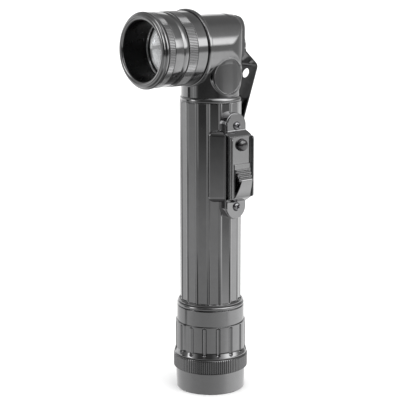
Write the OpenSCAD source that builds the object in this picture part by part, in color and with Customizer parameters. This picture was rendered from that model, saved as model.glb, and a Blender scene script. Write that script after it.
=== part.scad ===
// Angle head flashlight for two AA cells.
// It stands on its base: +Z is up along the body tube, the beam leaves along -Y,
// the switch faces +X and the belt clip is on the +Y side. Millimetres.

/* [Battery cells] */
// Radius of one cell
cell_r = 7.15; // [6.95:0.05:7.25]
// Height of one cell's can, without its button
cell_can_h = 49.2; // [44:0.2:52]
// Height of the button on a cell
cell_button_h = 1.2; // [0.8:0.1:1.6]
// Radius of the button on a cell
cell_button_r = 2.7; // [2:0.1:3.2]
// Height that the upper cell reaches above the tube's rim, inside the elbow's neck
cell_in_neck_h = 6.2; // [5:0.1:7]

/* [Base cover] */
// Thickness of the base's side wall, just under the knurled ring
base_wall = 2; // [1.7:0.05:2.3]
// How much the smooth part narrows towards the resting face
base_draft = 0.25; // [0:0.05:0.4]
// Radius of the rounded lower edge
base_edge_r = 1.1; // [0.5:0.1:1.6]
// Height of the smooth part
base_plain_h = 8.6; // [7.5:0.1:10]
// Height of the knurled ring
base_ring_h = 6; // [5:0.1:7]
// How far the knurling stands out from the smooth part
base_ring_out = 1.02; // [0.8:0.02:1.4]
// Thickness of the floor
base_floor_t = 1.8; // [1.2:0.1:2.4]
// Clearance around the spare filters
compartment_gap = 0.7; // [0.4:0.05:0.8]

/* [Tail cap] */
// Thickness of the smooth neck around the tube
cap_neck_wall = 1; // [0.85:0.05:1.25]
// How far the fluted grip stands out from the neck
cap_grip_out = 0.69; // [0.55:0.01:0.9]
// How far the shoulder's foot stands out from the grip
cap_shoulder_out = 0.66; // [0.4:0.01:0.8]
// Height of the sloping shoulder
cap_shoulder_h = 2.4; // [1.8:0.1:3]
// Height of the fluted grip
cap_grip_h = 11; // [9:0.1:13]
// Height of the smooth neck
cap_neck_h = 5.9; // [5:0.1:8]
// Number of flutes
flute_count = 16; // [12:1:20]
// Radius of one flute's hollow
flute_r = 1.15; // [0.9:0.05:1.3]
// Depth of one flute
flute_depth = 0.75; // [0.4:0.05:0.9]
// Turn of the flutes against the switch side
flute_turn = -5.8; // [-11:0.1:11]

/* [Body tube] */
// Radius over the ribs
tube_r = 12.15; // [12:0.05:12.25]
// Thickness of the tube's wall
tube_wall = 2.25; // [2.05:0.05:2.4]
// Number of ribs around the tube
rib_count = 16; // [12:1:24]
// Width of one rib
rib_w = 1.45; // [1:0.05:2]
// Depth of the panels between the ribs
panel_depth = 0.35; // [0.2:0.05:0.5]
// Height of the smooth band under the rim
tube_band_h = 1.5; // [1:0.1:3]

/* [Switch housing] */
// Distance of the upper guard screw below the tube's rim
screw_drop = 10.5; // [9.5:0.1:12]
// Height of the housing's screw faces over the tube
housing_out = 2.45; // [2.25:0.05:2.85]
// Half width of the housing's rounded ends
housing_half_w = 5; // [4.8:0.05:5.4]
// How far the slanted pad runs past the guard's face at each end
pad_over = 1.3; // [0.8:0.1:1.9]

/* [Switch guard] */
// Thickness of the guard's sheet
guard_t = 0.6; // [0.5:0.05:0.7]
// Half width of the guard's ears
ear_half_w = 4.4; // [4:0.05:4.6]
// Half width between the guard's rails
rail_half_gap = 5; // [4.8:0.05:5.3]
// Height of the guard's face over the housing
guard_rise = 3.5; // [3.2:0.05:4]
// Height of the rails over the face
rail_h = 1.9; // [1.4:0.1:2.4]
// Length of the guard's flat face
guard_face_len = 24; // [23.4:0.1:26]
// Distance from the guard's face to the screw in each ear
ear_run = 3.85; // [3.5:0.05:4.6]

/* [Slide switch and button] */
// Travel of the slide switch
slide_travel = 4; // [3:0.1:4.1]
// Half width of the slide's plate
slide_half_w = 4; // [3.6:0.05:4.4]
// Half width of the slide at its crest
crest_half_w = 2.8; // [2.4:0.05:3.2]
// Length of the slide's plate
slide_len = 13.3; // [12.6:0.1:13.6]
// Height of the crest over the guard's face
crest_h = 3.3; // [2.6:0.1:4]
// Radius of the push button
button_r = 2.25; // [1.9:0.05:2.4]
// Height of the push button over the guard's face
button_out = 1.9; // [1.6:0.1:2.4]
// Travel of the push button
button_travel = 1.2; // [0.6:0.1:1.3]

/* [Elbow] */
// Height of the head's axis above the tube's rim
neck_h = 19; // [18.6:0.1:20]
// How far the neck is set in from the tube
neck_step = 0.65; // [0.4:0.05:0.95]
// How far the arm that carries the head stands out from the neck
arm_out = 0.9; // [0.8:0.05:1]
// How far the elbow's rounded back stands out from the neck
back_out = 1.1; // [1:0.05:1.3]
// Radius of the rounding between the elbow's top and back
crown_r = 6; // [4.5:0.1:6.4]
// How far the clip's seat stands out from the rounded back
seat_out = 0.5; // [0.3:0.05:0.7]
// Radius of the round boss on each side
boss_r = 7.5; // [7:0.1:7.8]
// How far the boss's face stands out from the neck
boss_out = 0.7; // [0.6:0.05:0.9]
// Height of the boss's centre above the tube's rim
boss_h = 8.1; // [7.8:0.1:8.4]
// How far the flange behind the head's rings stands out from them
flange_out = 0.65; // [0.4:0.05:0.85]
// How far the flange's rear face lies behind the neck's front
flange_back = 0.2; // [0:0.1:0.4]
// Thickness of the flange
flange_t = 1.6; // [1.2:0.1:2]

/* [Head rings] */
// Thickness of the lens ring's wall
lens_ring_wall = 1.6; // [1.45:0.05:1.75]
// Length of the lens ring
lens_ring_len = 9.1; // [8.6:0.1:9.6]
// Length of the knurling on the lens ring
lens_knurl_len = 4.3; // [3:0.1:5]
// Thickness of the filter ring's wall
filter_ring_wall = 1.6; // [1.45:0.05:1.75]
// Length of the filter ring
filter_ring_len = 8.9; // [8.4:0.1:9.4]
// Length of the knurling on the filter ring
filter_knurl_len = 2.7; // [2:0.1:3.2]
// Length of the filter ring's bead
filter_bead_len = 2.3; // [1.6:0.1:2.6]
// How far the front ring's bead stands out from the filter ring
front_bead_out = 0.35; // [0.25:0.05:0.6]
// How far the front ring's lip is set in from its bead
front_lip_step = 0.75; // [0.5:0.05:1.1]
// Length of the front ring
front_ring_len = 2.4; // [2.2:0.1:3]
// How much wider than the lens the head's mouth is
mouth_out = 0.35; // [0.2:0.05:0.4]
// Seam between two rings
seam = 0.35; // [0.3:0.05:0.5]
// Number of knurls on a ring
knurl_count = 144; // [96:4:160]
// Depth of the knurls
knurl_depth = 0.25; // [0.15:0.05:0.3]

/* [Optics] */
// How much wider than the arm's bore the lens is
lens_over = 0.6; // [0.5:0.02:0.64]
// Thickness of the lens
lens_t = 1.5; // [1:0.1:1.6]
// Width of the reflector's flat rim
reflector_rim_w = 0.8; // [0.7:0.05:1]
// Depth of the reflector from its rim to the bulb's hole
reflector_depth = 9.2; // [8.8:0.1:9.4]
// Wall of the reflector
reflector_wall = 0.6; // [0.4:0.05:0.7]
// Radius of the bulb's glass
bulb_r = 3.6; // [3.2:0.05:3.7]
// Length of the bulb's glass in front of its flange
bulb_glass_len = 9.5; // [8:0.1:10]
// Radius of the bulb's flange
bulb_flange_r = 5.9; // [5.4:0.05:6.2]
// Radius of the bulb's metal barrel
bulb_barrel_r = 4.3; // [4:0.05:4.4]
// Length of the bulb's metal barrel
bulb_barrel_len = 9.3; // [8.8:0.1:9.6]

/* [Belt clip] */
// Thickness of the clip's sheet
clip_t = 0.6; // [0.5:0.05:0.65]
// Half width of the clip
clip_half_w = 5.5; // [5:0.1:6]
// Height of the clip's top over the head's axis
clip_top_h = 3.9; // [3.4:0.1:4.4]
// Height of the clip's upper bend below the head's axis
clip_bend_drop = 1.2; // [1:0.1:1.6]
// How far the clip's elbow stands out from its seat
clip_reach = 7.2; // [6.5:0.1:7.9]
// Height of the clip's elbow below the head's axis
clip_elbow_drop = 8.1; // [7.6:0.1:8.6]
// Height of the place where the clip meets the tube, below the head's axis
clip_touch_drop = 29; // [28:0.1:30]
// Radius of the hole for a lanyard
lanyard_r = 1.97; // [1.5:0.01:2.2]

/* [Hidden] */

$fn = 64;

// Clearances shared by all pieces
over = 1;
run_gap = 0.1;
seat_gap = 0.05;
loose_gap = 0.3;

// Sheet and strip stock
strip_t = 0.4;
strip_half_w = 1.5;
plate_t = 0.3;
gasket_t = 0.8;

// Springs
helix_sides = 6;
helix_steps_per_turn = 8;

// Radii that follow the tube, up to the head and down to the base
neck_r = tube_r - neck_step;
elbow_wall = 1.8;
arm_r = neck_r + arm_out;
arm_bore_r = arm_r - elbow_wall;
lens_r = arm_bore_r + lens_over;
filter_disc_r = lens_r;
compartment_r = filter_disc_r + compartment_gap;
base_r = compartment_r + base_wall;
base_ring_r = base_r + base_ring_out;
tube_bore_r = tube_r - tube_wall;
tube_spigot_step = 0.5;
tube_spigot_r = tube_r - tube_spigot_step;
cap_bore_r = tube_spigot_r + run_gap;
cap_recess_r = tube_r + run_gap + run_gap;
cap_neck_r = cap_recess_r + cap_neck_wall;
cap_grip_r = cap_neck_r + cap_grip_out;
cap_shoulder_r = cap_grip_r + cap_shoulder_out;
cap_lip_wall = 0.6;
cap_lip_r = cap_recess_r + cap_lip_wall;

// Levels of the base cover and the tail cap
cover_top_z = base_plain_h + base_ring_h;
ring_bevel = 0.5;
cap_bottom_z = cover_top_z + run_gap + run_gap;
cap_floor_t = 1.8;
cap_floor_z = cap_bottom_z + cap_floor_t;
cap_grip_z = cap_bottom_z + cap_shoulder_h;
cap_neck_z = cap_grip_z + cap_grip_h;
cap_neck_top_z = cap_neck_z + cap_neck_h;
cap_groove_h = 0.4;
cap_groove_depth = 0.35;
cap_bead_h = 1.4;
cap_lip_h = 0.9;
cap_lip_z = cap_neck_top_z + cap_groove_h + cap_bead_h + cap_lip_h;

// Spare filter compartment and the thread that closes it
cover_thread_wall = 2.2;
cover_thread_r = base_ring_r - knurl_depth - cover_thread_wall;
cover_ledge_z = base_plain_h + gasket_t;
cap_spigot_z = cover_ledge_z + gasket_t + run_gap + run_gap;
cap_spigot_r = cover_thread_r - run_gap;
cap_spigot_wall = 1.5;
compartment_top_z = cap_bottom_z - run_gap;
filter_disc_t = 1;

// Spring, contact plate and cells
tail_spring_h = 7.1;
tail_spring_r = 4.6;
tail_spring_top_r = 3;
tail_spring_wire_r = 0.4;
tail_spring_turns = 4.5;
cell_base_z = cap_floor_z + plate_t + tail_spring_h;
cell_pitch = cell_can_h + cell_button_h + run_gap;
cells_top_z = cell_base_z + cell_pitch + cell_can_h + cell_button_h;
cell_edge = 0.6;

// Body tube
tube_top_z = cells_top_z - cell_in_neck_h;
tube_foot_gap = 2.4;
tube_foot_z = cap_floor_z + plate_t + tube_foot_gap;
tube_shoulder_z = cap_neck_top_z + gasket_t + run_gap + run_gap;
tube_rim_h = 0.6;
tube_rim_r = tube_r - run_gap;
tube_rim_groove_h = 0.25;
tube_rim_groove_depth = 0.25;
panel_foot_z = cap_lip_z - run_gap;
panel_top_z = tube_top_z - tube_rim_h - tube_band_h;
rib_half_angle = asin(rib_w / 2 / tube_r);
rib_step = 360 / rib_count;
guide_rib_count = 6;
guide_rib_w = 1.2;
guide_rib_r = cell_r + run_gap + run_gap;
thread_pitch = 1.5;
thread_depth = 0.3;

// Elbow and its plug in the tube
head_z = tube_top_z + neck_h;
plug_len = 10.7;
plug_r = tube_bore_r - run_gap;
plug_cell_gap = 0.45;
plug_bore_r = cell_r + plug_cell_gap;
plug_foot_z = tube_top_z - plug_len;
back_r = neck_r + back_out;
seat_y = back_r + seat_out;
back_bore_r = back_r - elbow_wall;
crown_bore_r = crown_r - elbow_wall;
boss_z = tube_top_z + boss_h;
boss_face_r = neck_r + boss_out;
boss_lip_w = 1.2;
boss_dish_drop = 1.6;
boss_dish_x = boss_face_r - boss_dish_drop;
boss_dish_rise = 0.2;
boss_edge = 0.35;
dish_floor_share = 0.6;
seat_foot_drop = 5;
seat_half_w = clip_half_w;
ledge_w = 1.3;
ledge_t = 1.2;

// Places along the head, as distances in front of the tube's axis
flange_u = neck_r - flange_back;
spigot_u = flange_u + flange_t;
lens_ring_u = spigot_u + seam;
lens_ring_front_u = lens_ring_u + lens_ring_len;
filter_ring_u = lens_ring_front_u + seam;
filter_ring_front_u = filter_ring_u + filter_ring_len;
front_ring_u = filter_ring_front_u + seam;
mouth_u = front_ring_u + front_ring_len;
head_spigot_wall = 1.25;
head_spigot_bore_r = lens_r + run_gap;
head_spigot_r = head_spigot_bore_r + head_spigot_wall;
lens_ring_r = head_spigot_r + run_gap + lens_ring_wall;
flange_r = lens_ring_r + flange_out;
lens_lip_t = 1;
lens_gasket_t = 0.5;
lens_lip_u = lens_ring_front_u - seam;
head_spigot_front_u = lens_lip_u - run_gap;
lens_front_u = lens_lip_u - lens_gasket_t - seat_gap - seat_gap;
lens_rear_u = lens_front_u - lens_t;
rim_t = 0.8;
rim_front_u = lens_rear_u - seat_gap;
reflector_r = lens_r - reflector_rim_w;
lens_lip_r = reflector_r;
front_thread_step = 1.3;
front_thread_r = lens_r + front_thread_step;
filter_ring_r = front_thread_r + seat_gap + filter_ring_wall;
front_thread_len = 5;
front_thread_wall = 0.7;
stop_t = 0.3;
front_spigot_r = front_thread_r + run_gap + run_gap;
front_spigot_len = 3.4;
front_spigot_wall = 1;
bead_h = 0.3;
front_round = 0.7;
front_bead_round = 0.75;
front_bead_r = filter_ring_r + front_bead_out;
front_lip_r = front_bead_r - front_lip_step;
mouth_r = lens_r + mouth_out;
hood_wall = 0.6;
hood_front_u = mouth_u - front_round;
hood_rear_u = lens_lip_u + lens_lip_t + run_gap + run_gap;
hood_rear_r = lens_lip_r + run_gap;
hood_front_r = mouth_r - run_gap - run_gap;

// Reflector and bulb
bulb_hole_gap = 0.4;
hole_r = bulb_r + bulb_hole_gap;
focus = (reflector_r * reflector_r - hole_r * hole_r) / (4 * reflector_depth);
apex_u = rim_front_u - reflector_r * reflector_r / (4 * focus);
hole_u = rim_front_u - reflector_depth;
collar_len = 2.3;
collar_r = hole_r + reflector_wall + reflector_wall;
flange_front_u = hole_u - collar_len - seat_gap;
bulb_flange_t = 0.6;
flange_rear_u = flange_front_u - bulb_flange_t;
barrel_rear_u = flange_rear_u - bulb_barrel_len;
solder_r = 1.6;
solder_len = 1.5;
holder_gap = 0.1;
holder_front_u = flange_rear_u - holder_gap;
holder_strip_gap = 1.6;
holder_rear_u = strip_half_w + holder_strip_gap;
holder_len = holder_front_u - holder_rear_u;
holder_r = arm_bore_r - run_gap;
holder_bore_r = bulb_barrel_r + run_gap;
ledge_front_u = holder_rear_u - seat_gap;
filament_bead_r = 1.2;
filament_post_r = 0.2;
filament_post_gap = 0.9;
filament_post_len = 3.3;
coil_share = 0.9;
glass_wall = 0.4;
curve_steps = 16;

// Spring contact behind the bulb
contact_foot_drop = 4.7;
contact_foot_rise = 4.3;
contact_bend = 2.1;
contact_tip_rise = 1.2;
contact_tip_drop = 3.4;
contact_lead = 0.8;
contact_leg = 2.35;
contact_touch_share = 0.8;

// Switch housing
housing_x = tube_r + housing_out;
screw_pitch = guard_face_len + 2 * ear_run;
screw_upper_z = tube_top_z - screw_drop;
screw_lower_z = screw_upper_z - screw_pitch;
switch_z = (screw_upper_z + screw_lower_z) / 2;
pad_len = guard_face_len + 2 * pad_over;
pad_front_drop = 0.2;
pad_front_x = housing_x - pad_front_drop;
pad_front_half_w = 3.6;
pad_crease_drop = 0.6;
pad_crease_x = housing_x - pad_crease_drop;
pad_crease_half_w = 4.4;
pad_foot_half_w = 8.2;
pad_foot_x = sqrt(pow(tube_r - seat_gap, 2) - pow(pad_foot_half_w, 2));
cavity_half_w = 3.2;
cavity_end_gap = 0.2;
cavity_half_len = guard_face_len / 2 + cavity_end_gap;
screw_r = 1;
screw_head_r = 1.75;
screw_head_h = 1.1;
screw_len = 3.6;
screw_bore_gap = 0.05;
cavity_top_z = screw_upper_z - screw_r - 2 * screw_bore_gap - loose_gap;
notch_drop = 3.3;
notch_x = housing_x - notch_drop;
cross_w = 0.55;
cross_len = 2;
cross_depth = 0.6;
head_flat_share = 0.35;
head_wall_share = 0.4;

// Switch guard
guard_face_x = housing_x + guard_rise;
ear_x = housing_x + guard_t;
web_x = guard_face_x - guard_t;
rail_x = guard_face_x + rail_h;
rail_round = 2;
step_run = 1.6;
button_drop = 3.25;
button_z = switch_z + guard_face_len / 2 - button_drop;
button_hole_r = button_r + run_gap + run_gap;

// Slide switch
slide_foot_gap = 0.15;
slide_foot_z = switch_z - guard_face_len / 2 + slide_foot_gap;
slide_top_z = slide_foot_z + slide_len;
slide_base_x = guard_face_x + seat_gap;
slide_t = 0.6;
crest_run = 7;
crest_z = slide_foot_z + crest_run;
crest_x = guard_face_x + crest_h;
ramp_lead = 1.2;
ramp_top_z = slide_top_z - ramp_lead;
ridge_count = 4;
ridge_depth = 0.4;
ridge_share = 0.55;
hollow_share = 2.2;
shank_share = 0.72;
shank_half_w = 1.2;
shank_drop = 2.6;
shank_rise = 1;
shank_low_z = crest_z - shank_drop;
shank_high_z = crest_z + shank_rise;
shank_foot_drop = 1.4;
shank_foot_x = housing_x - shank_foot_drop;
slot_gap = 0.3;

// Block that carries the slide's shank and the button
leaf_drop = 2.5;
leaf_x = housing_x - leaf_drop;
block_half_w = 3.9;
block_tail_half_w = cavity_half_w - run_gap;
block_rear_x = leaf_x - run_gap - run_gap;
block_front_x = web_x - seat_gap;
button_flange_r = 2.6;
button_flange_t = 0.6;
button_well_r = button_flange_r + run_gap;
button_stem_r = 1;
button_ledge_drop = 1.2;
button_ledge_x = housing_x - button_ledge_drop;
button_stem_foot_x = leaf_x + seat_gap;
button_spring_r = 1.9;
button_spring_wire_r = 0.2;
button_spring_turns = 3;
button_dome_h = 0.7;

// Contact strips
strip_x = tube_bore_r - strip_t - run_gap - run_gap;
strip_foot_z = tube_foot_z - plate_t - run_gap;
strip_foot_x = tube_spigot_r - loose_gap;
strip_head_run = 3.4;
strip_head_z = switch_z - guard_face_len / 2 + strip_head_run;
leaf_lap = 1.4;
leaf_foot_run = 1.6;
leaf_foot_z = switch_z - guard_face_len / 2 + leaf_foot_run;
leaf_rise = 3;
leaf_rise_z = strip_head_z + leaf_rise;
leaf_tip = 0.45;
leaf_top_z = button_z + leaf_tip;
lamp_low_drop = 0.7;
lamp_low_x = notch_x - lamp_low_drop;
lamp_lap = 7;
lamp_low_z = leaf_top_z - lamp_lap;
lamp_bend_z = switch_z + cavity_half_len - cavity_end_gap;
lamp_slope = 1.8;
lamp_neck_z = lamp_bend_z + lamp_slope;
lamp_top_z = head_z - bulb_barrel_r - run_gap;
lamp_tip_len = 1;
slot_wall = 0.25;

// Belt clip
tab_foot_z = head_z - clip_bend_drop;
clip_split = 0.1;
clip_bend_r = 1.2;
clip_elbow_r = 1.5;
clip_touch_r = 2.5;
clip_elbow_y = seat_y + clip_reach;
clip_lip_out = 1.65;
clip_lip_y = tube_r + clip_lip_out;
clip_lip_len = 3;
clip_lip_drop = clip_touch_drop + clip_lip_len;
clip_corner_r = 3;
clip_lead = 0.9;
tab_corner_r = 3.2;
lanyard_run = 3.6;
lanyard_drop = clip_elbow_drop + lanyard_run;
rivet_r = 0.8;
rivet_head_r = 1.35;
rivet_head_h = 0.55;
rivet_y_gap = 2.6;
rivet_drop = 2.55;
rivet_z = head_z + clip_top_h - rivet_drop;
rivet_depth = 1.4;
clip_gap = 0.1;
clip_steps = 5;

// Colours
plated = "#5a5a5c";
plated_dark = "#3c3c3e";
moulded_black = "#161616";
bright = "#d9dadb";
brass = "#c8a951";

// Unit vector that points left of the way from a to b
function left_of(a, b) = [a.y - b.y, b.x - a.x] / norm(b - a);

// Offset direction at point i of a path, mitred at the corners
function mitre(p, i) =
    i == 0 ? left_of(p[0], p[1]) :
    i == len(p) - 1 ? left_of(p[i - 1], p[i]) :
    let (n = left_of(p[i - 1], p[i]), m = left_of(p[i], p[i + 1])) (n + m) / (1 + n * m);

// Closed outline of a strip of thickness t, to the left of the path p
function strip_outline(p, t) = concat(p, [for (i = [len(p) - 1 : -1 : 0]) p[i] + t * mitre(p, i)]);

// Corner i of a path, rounded with radius r in a few steps
function corner(p, i, r, steps) =
    let (a = (p[i - 1] - p[i]) / norm(p[i - 1] - p[i]),
         b = (p[i + 1] - p[i]) / norm(p[i + 1] - p[i]),
         half = acos(a * b) / 2,
         mid = (a + b) / norm(a + b),
         centre = p[i] + mid * r / sin(half),
         start = atan2(-(mid.y), -(mid.x)),
         sweep = 90 - half,
         turn = a.x * b.y - a.y * b.x > 0 ? -1 : 1)
    [for (k = [0 : steps]) let (w = start - turn * sweep + turn * 2 * sweep * k / steps)
        centre + r * [cos(w), sin(w)]];

// Path with every inner corner rounded by its own radius
function rounded_path(p, radii, steps) = concat(
    [p[0]],
    [for (i = [1 : len(p) - 2]) each corner(p, i, radii[i - 1], steps)],
    [p[len(p) - 1]]);

// Outline of a knurled ring
function knurl_outline(r, depth, count) =
    [for (i = [0 : 2 * count - 1]) (i % 2 == 0 ? r : r - depth) * [cos(180 * i / count), sin(180 * i / count)]];

// Places its children on the head's axis, with +Z forward
module on_head() {
    translate([0, 0, head_z])
        rotate([90, 0, 0])
            children();
}

// Draws a YZ outline as a slab of the given half width across X
module across_x(half_w) {
    translate([-half_w, 0, 0])
        rotate([90, 0, 90])
            linear_extrude(2 * half_w)
                children();
}

// Draws an XZ outline as a slab of the given half width across Y
module across_y(half_w) {
    translate([0, half_w, 0])
        rotate([90, 0, 0])
            linear_extrude(2 * half_w)
                children();
}

// Cylinder along +X that starts at x, at height z and across distance y
module peg(x, y, z, r, len) {
    translate([x, y, z])
        rotate([0, 90, 0])
            cylinder(r = r, h = len);
}

// Plain ring from height z
module ring(r_out, r_in, z, h) {
    translate([0, 0, z])
        difference() {
            cylinder(r = r_out, h = h);
            translate([0, 0, -over])
                cylinder(r = r_in, h = h + 2 * over);
        }
}

// Shallow ring grooves that stand for a thread on a spigot of radius r
module thread_grooves(r, z, len) {
    for (k = [0 : floor(len / thread_pitch) - 1])
        translate([0, 0, z + (k + 0.5) * thread_pitch])
            rotate_extrude()
                polygon([[r - thread_depth, 0], [r + thread_depth, -thread_pitch / 2],
                         [r + thread_depth, thread_pitch / 2]]);
}

// Helical spring as one tube
module helix(r_low, r_high, h, turns, wire_r) {
    steps = turns * helix_steps_per_turn;
    sides = helix_sides;
    rows = [for (i = [0 : steps])
        let (w = 360 * turns * i / steps,
             r = r_low + (r_high - r_low) * i / steps,
             z = wire_r + (h - 2 * wire_r) * i / steps)
        [for (k = [0 : sides - 1])
            [(r + wire_r * cos(360 * k / sides)) * cos(w),
             (r + wire_r * cos(360 * k / sides)) * sin(w),
             z + wire_r * sin(360 * k / sides)]]];
    points = [for (row = rows) each row];
    faces = concat(
        [[for (k = [0 : sides - 1]) k]],
        [for (i = [0 : steps - 1]) for (k = [0 : sides - 1])
            [i * sides + k, (i + 1) * sides + k, (i + 1) * sides + (k + 1) % sides]],
        [for (i = [0 : steps - 1]) for (k = [0 : sides - 1])
            [i * sides + k, (i + 1) * sides + (k + 1) % sides, i * sides + (k + 1) % sides]],
        [[for (k = [sides - 1 : -1 : 0]) steps * sides + k]]);
    polyhedron(points, faces, convexity = 10);
}

// Base: the compartment cover, its gasket and the filters kept in it

module base_cover() {
    foot_r = base_r - base_draft;
    color(plated) difference() {
        union() {
            rotate_extrude()
                polygon(concat(
                    [[0, 0]],
                    [for (k = [0 : curve_steps]) let (w = 90 * k / curve_steps)
                        [foot_r - base_edge_r + base_edge_r * sin(w), base_edge_r - base_edge_r * cos(w)]],
                    [[base_r, base_plain_h],
                     [base_ring_r - knurl_depth - ring_bevel, base_plain_h],
                     [base_ring_r - knurl_depth, base_plain_h + ring_bevel],
                     [base_ring_r - knurl_depth, cover_top_z - ring_bevel],
                     [base_ring_r - knurl_depth - ring_bevel / 2, cover_top_z],
                     [0, cover_top_z]]));
            translate([0, 0, base_plain_h + ring_bevel])
                linear_extrude(base_ring_h - 2 * ring_bevel)
                    polygon(knurl_outline(base_ring_r, knurl_depth + seat_gap, knurl_count));
        }
        translate([0, 0, base_floor_t])
            cylinder(r = compartment_r, h = cover_top_z);
        translate([0, 0, cover_ledge_z])
            cylinder(r = cover_thread_r, h = cover_top_z);
    }
}

module base_gasket() {
    color(moulded_black)
        ring(cap_spigot_r, cap_spigot_r - cap_spigot_wall + run_gap, cover_ledge_z + run_gap, gasket_t);
}

// Filter number k in the stack on the compartment's floor
module filter_disc(k) {
    translate([0, 0, base_floor_t + k * (filter_disc_t + seat_gap)])
        cylinder(r = filter_disc_r, h = filter_disc_t);
}

module spare_filter_red() {
    color("#b01818") filter_disc(0);
}

module spare_filter_green() {
    color("#1f8a3c") filter_disc(1);
}

module spare_diffuser() {
    color("#e8e8e4") filter_disc(2);
}

// Tail cap, its gasket, spring and contact plate

module tail_cap() {
    groove_r = cap_neck_r - cap_groove_depth;
    bead_low_z = cap_neck_top_z + cap_groove_h;
    bead_top_z = bead_low_z + cap_bead_h;
    bead_out = cap_neck_r - run_gap / 2;
    color(plated) difference() {
        rotate_extrude()
            polygon(concat(
                [[0, cap_spigot_z],
                 [cap_spigot_r, cap_spigot_z],
                 [cap_spigot_r, cap_bottom_z],
                 [cap_shoulder_r, cap_bottom_z],
                 [cap_shoulder_r, cap_bottom_z + seam],
                 [cap_grip_r, cap_grip_z],
                 [cap_grip_r, cap_neck_z - cap_grip_r + cap_neck_r],
                 [cap_neck_r, cap_neck_z],
                 [cap_neck_r, cap_neck_top_z],
                 [groove_r, cap_neck_top_z + cap_groove_h / 2],
                 [groove_r, bead_low_z]],
                [for (k = [0 : curve_steps]) let (w = -90 + 180 * k / curve_steps)
                    [groove_r + (bead_out - groove_r) * cos(w), (bead_low_z + bead_top_z) / 2 + cap_bead_h / 2 * sin(w)]],
                [[cap_lip_r - cap_groove_depth, bead_top_z],
                 [cap_lip_r, bead_top_z + cap_groove_h / 2],
                 [cap_lip_r, cap_lip_z - run_gap],
                 [cap_lip_r - run_gap, cap_lip_z],
                 [0, cap_lip_z]]));
        for (k = [0 : flute_count - 1])
            rotate([0, 0, flute_turn + 360 * k / flute_count]) {
                translate([cap_grip_r - flute_depth + flute_r, 0, cap_grip_z - flute_r])
                    cylinder(r = flute_r, h = cap_grip_h);
                translate([cap_grip_r - flute_depth + flute_r, 0, cap_grip_z - flute_r + cap_grip_h])
                    sphere(r = flute_r);
            }
        translate([0, 0, cap_floor_z])
            cylinder(r = cap_bore_r, h = cap_lip_z);
        translate([0, 0, cap_neck_top_z])
            cylinder(r = cap_recess_r, h = cap_lip_z);
        translate([0, 0, cap_spigot_z - over])
            cylinder(r = cap_spigot_r - cap_spigot_wall, h = over + cap_bottom_z - cap_spigot_z);
        thread_grooves(cap_spigot_r, cap_spigot_z + run_gap, cap_bottom_z - cap_spigot_z);
    }
}

module tail_gasket() {
    color(moulded_black)
        ring(tube_r, tube_spigot_r + run_gap, cap_neck_top_z + run_gap, gasket_t);
}

module tail_contact() {
    lip_r = tube_spigot_r - loose_gap;
    lip_h = tube_foot_gap - plate_t - run_gap - seat_gap;
    color(brass) translate([0, 0, cap_floor_z]) {
        cylinder(r = lip_r, h = plate_t);
        ring(lip_r, lip_r - plate_t, 0, plate_t + lip_h);
    }
}

module tail_spring() {
    color(bright) translate([0, 0, cap_floor_z + plate_t])
        helix(tail_spring_r, tail_spring_top_r, tail_spring_h, tail_spring_turns, tail_spring_wire_r);
}

// Cells

module battery(z) {
    color("#2f4a7a") translate([0, 0, z])
        rotate_extrude()
            polygon([[0, 0], [cell_r - cell_edge, 0], [cell_r, cell_edge],
                     [cell_r, cell_can_h - cell_edge], [cell_r - cell_edge, cell_can_h],
                     [cell_button_r, cell_can_h], [cell_button_r, cell_can_h + cell_button_h],
                     [0, cell_can_h + cell_button_h]]);
}

module battery_lower() {
    battery(cell_base_z);
}

module battery_upper() {
    battery(cell_base_z + cell_pitch);
}

// Body tube with the switch housing moulded on it

module housing_outline() {
    for (z = [screw_lower_z, screw_upper_z])
        translate([0, z])
            circle(r = housing_half_w);
    translate([-housing_half_w, screw_lower_z])
        square([2 * housing_half_w, screw_pitch]);
}

module housing_solid() {
    translate([tube_bore_r, 0, 0])
        rotate([90, 0, 90])
            linear_extrude(housing_x - tube_bore_r)
                housing_outline();
    translate([0, 0, switch_z - pad_len / 2])
        linear_extrude(pad_len)
            polygon([[pad_foot_x, -pad_foot_half_w], [pad_crease_x, -pad_crease_half_w],
                     [pad_front_x, -pad_front_half_w], [pad_front_x, pad_front_half_w],
                     [pad_crease_x, pad_crease_half_w], [pad_foot_x, pad_foot_half_w]]);
}

module tube_panels() {
    for (k = [0 : rib_count - 1])
        rotate([0, 0, k * rib_step + rib_half_angle])
            rotate_extrude(angle = rib_step - 2 * rib_half_angle)
                translate([tube_r - panel_depth, panel_foot_z])
                    square([2 * panel_depth, panel_top_z - panel_foot_z]);
}

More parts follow.
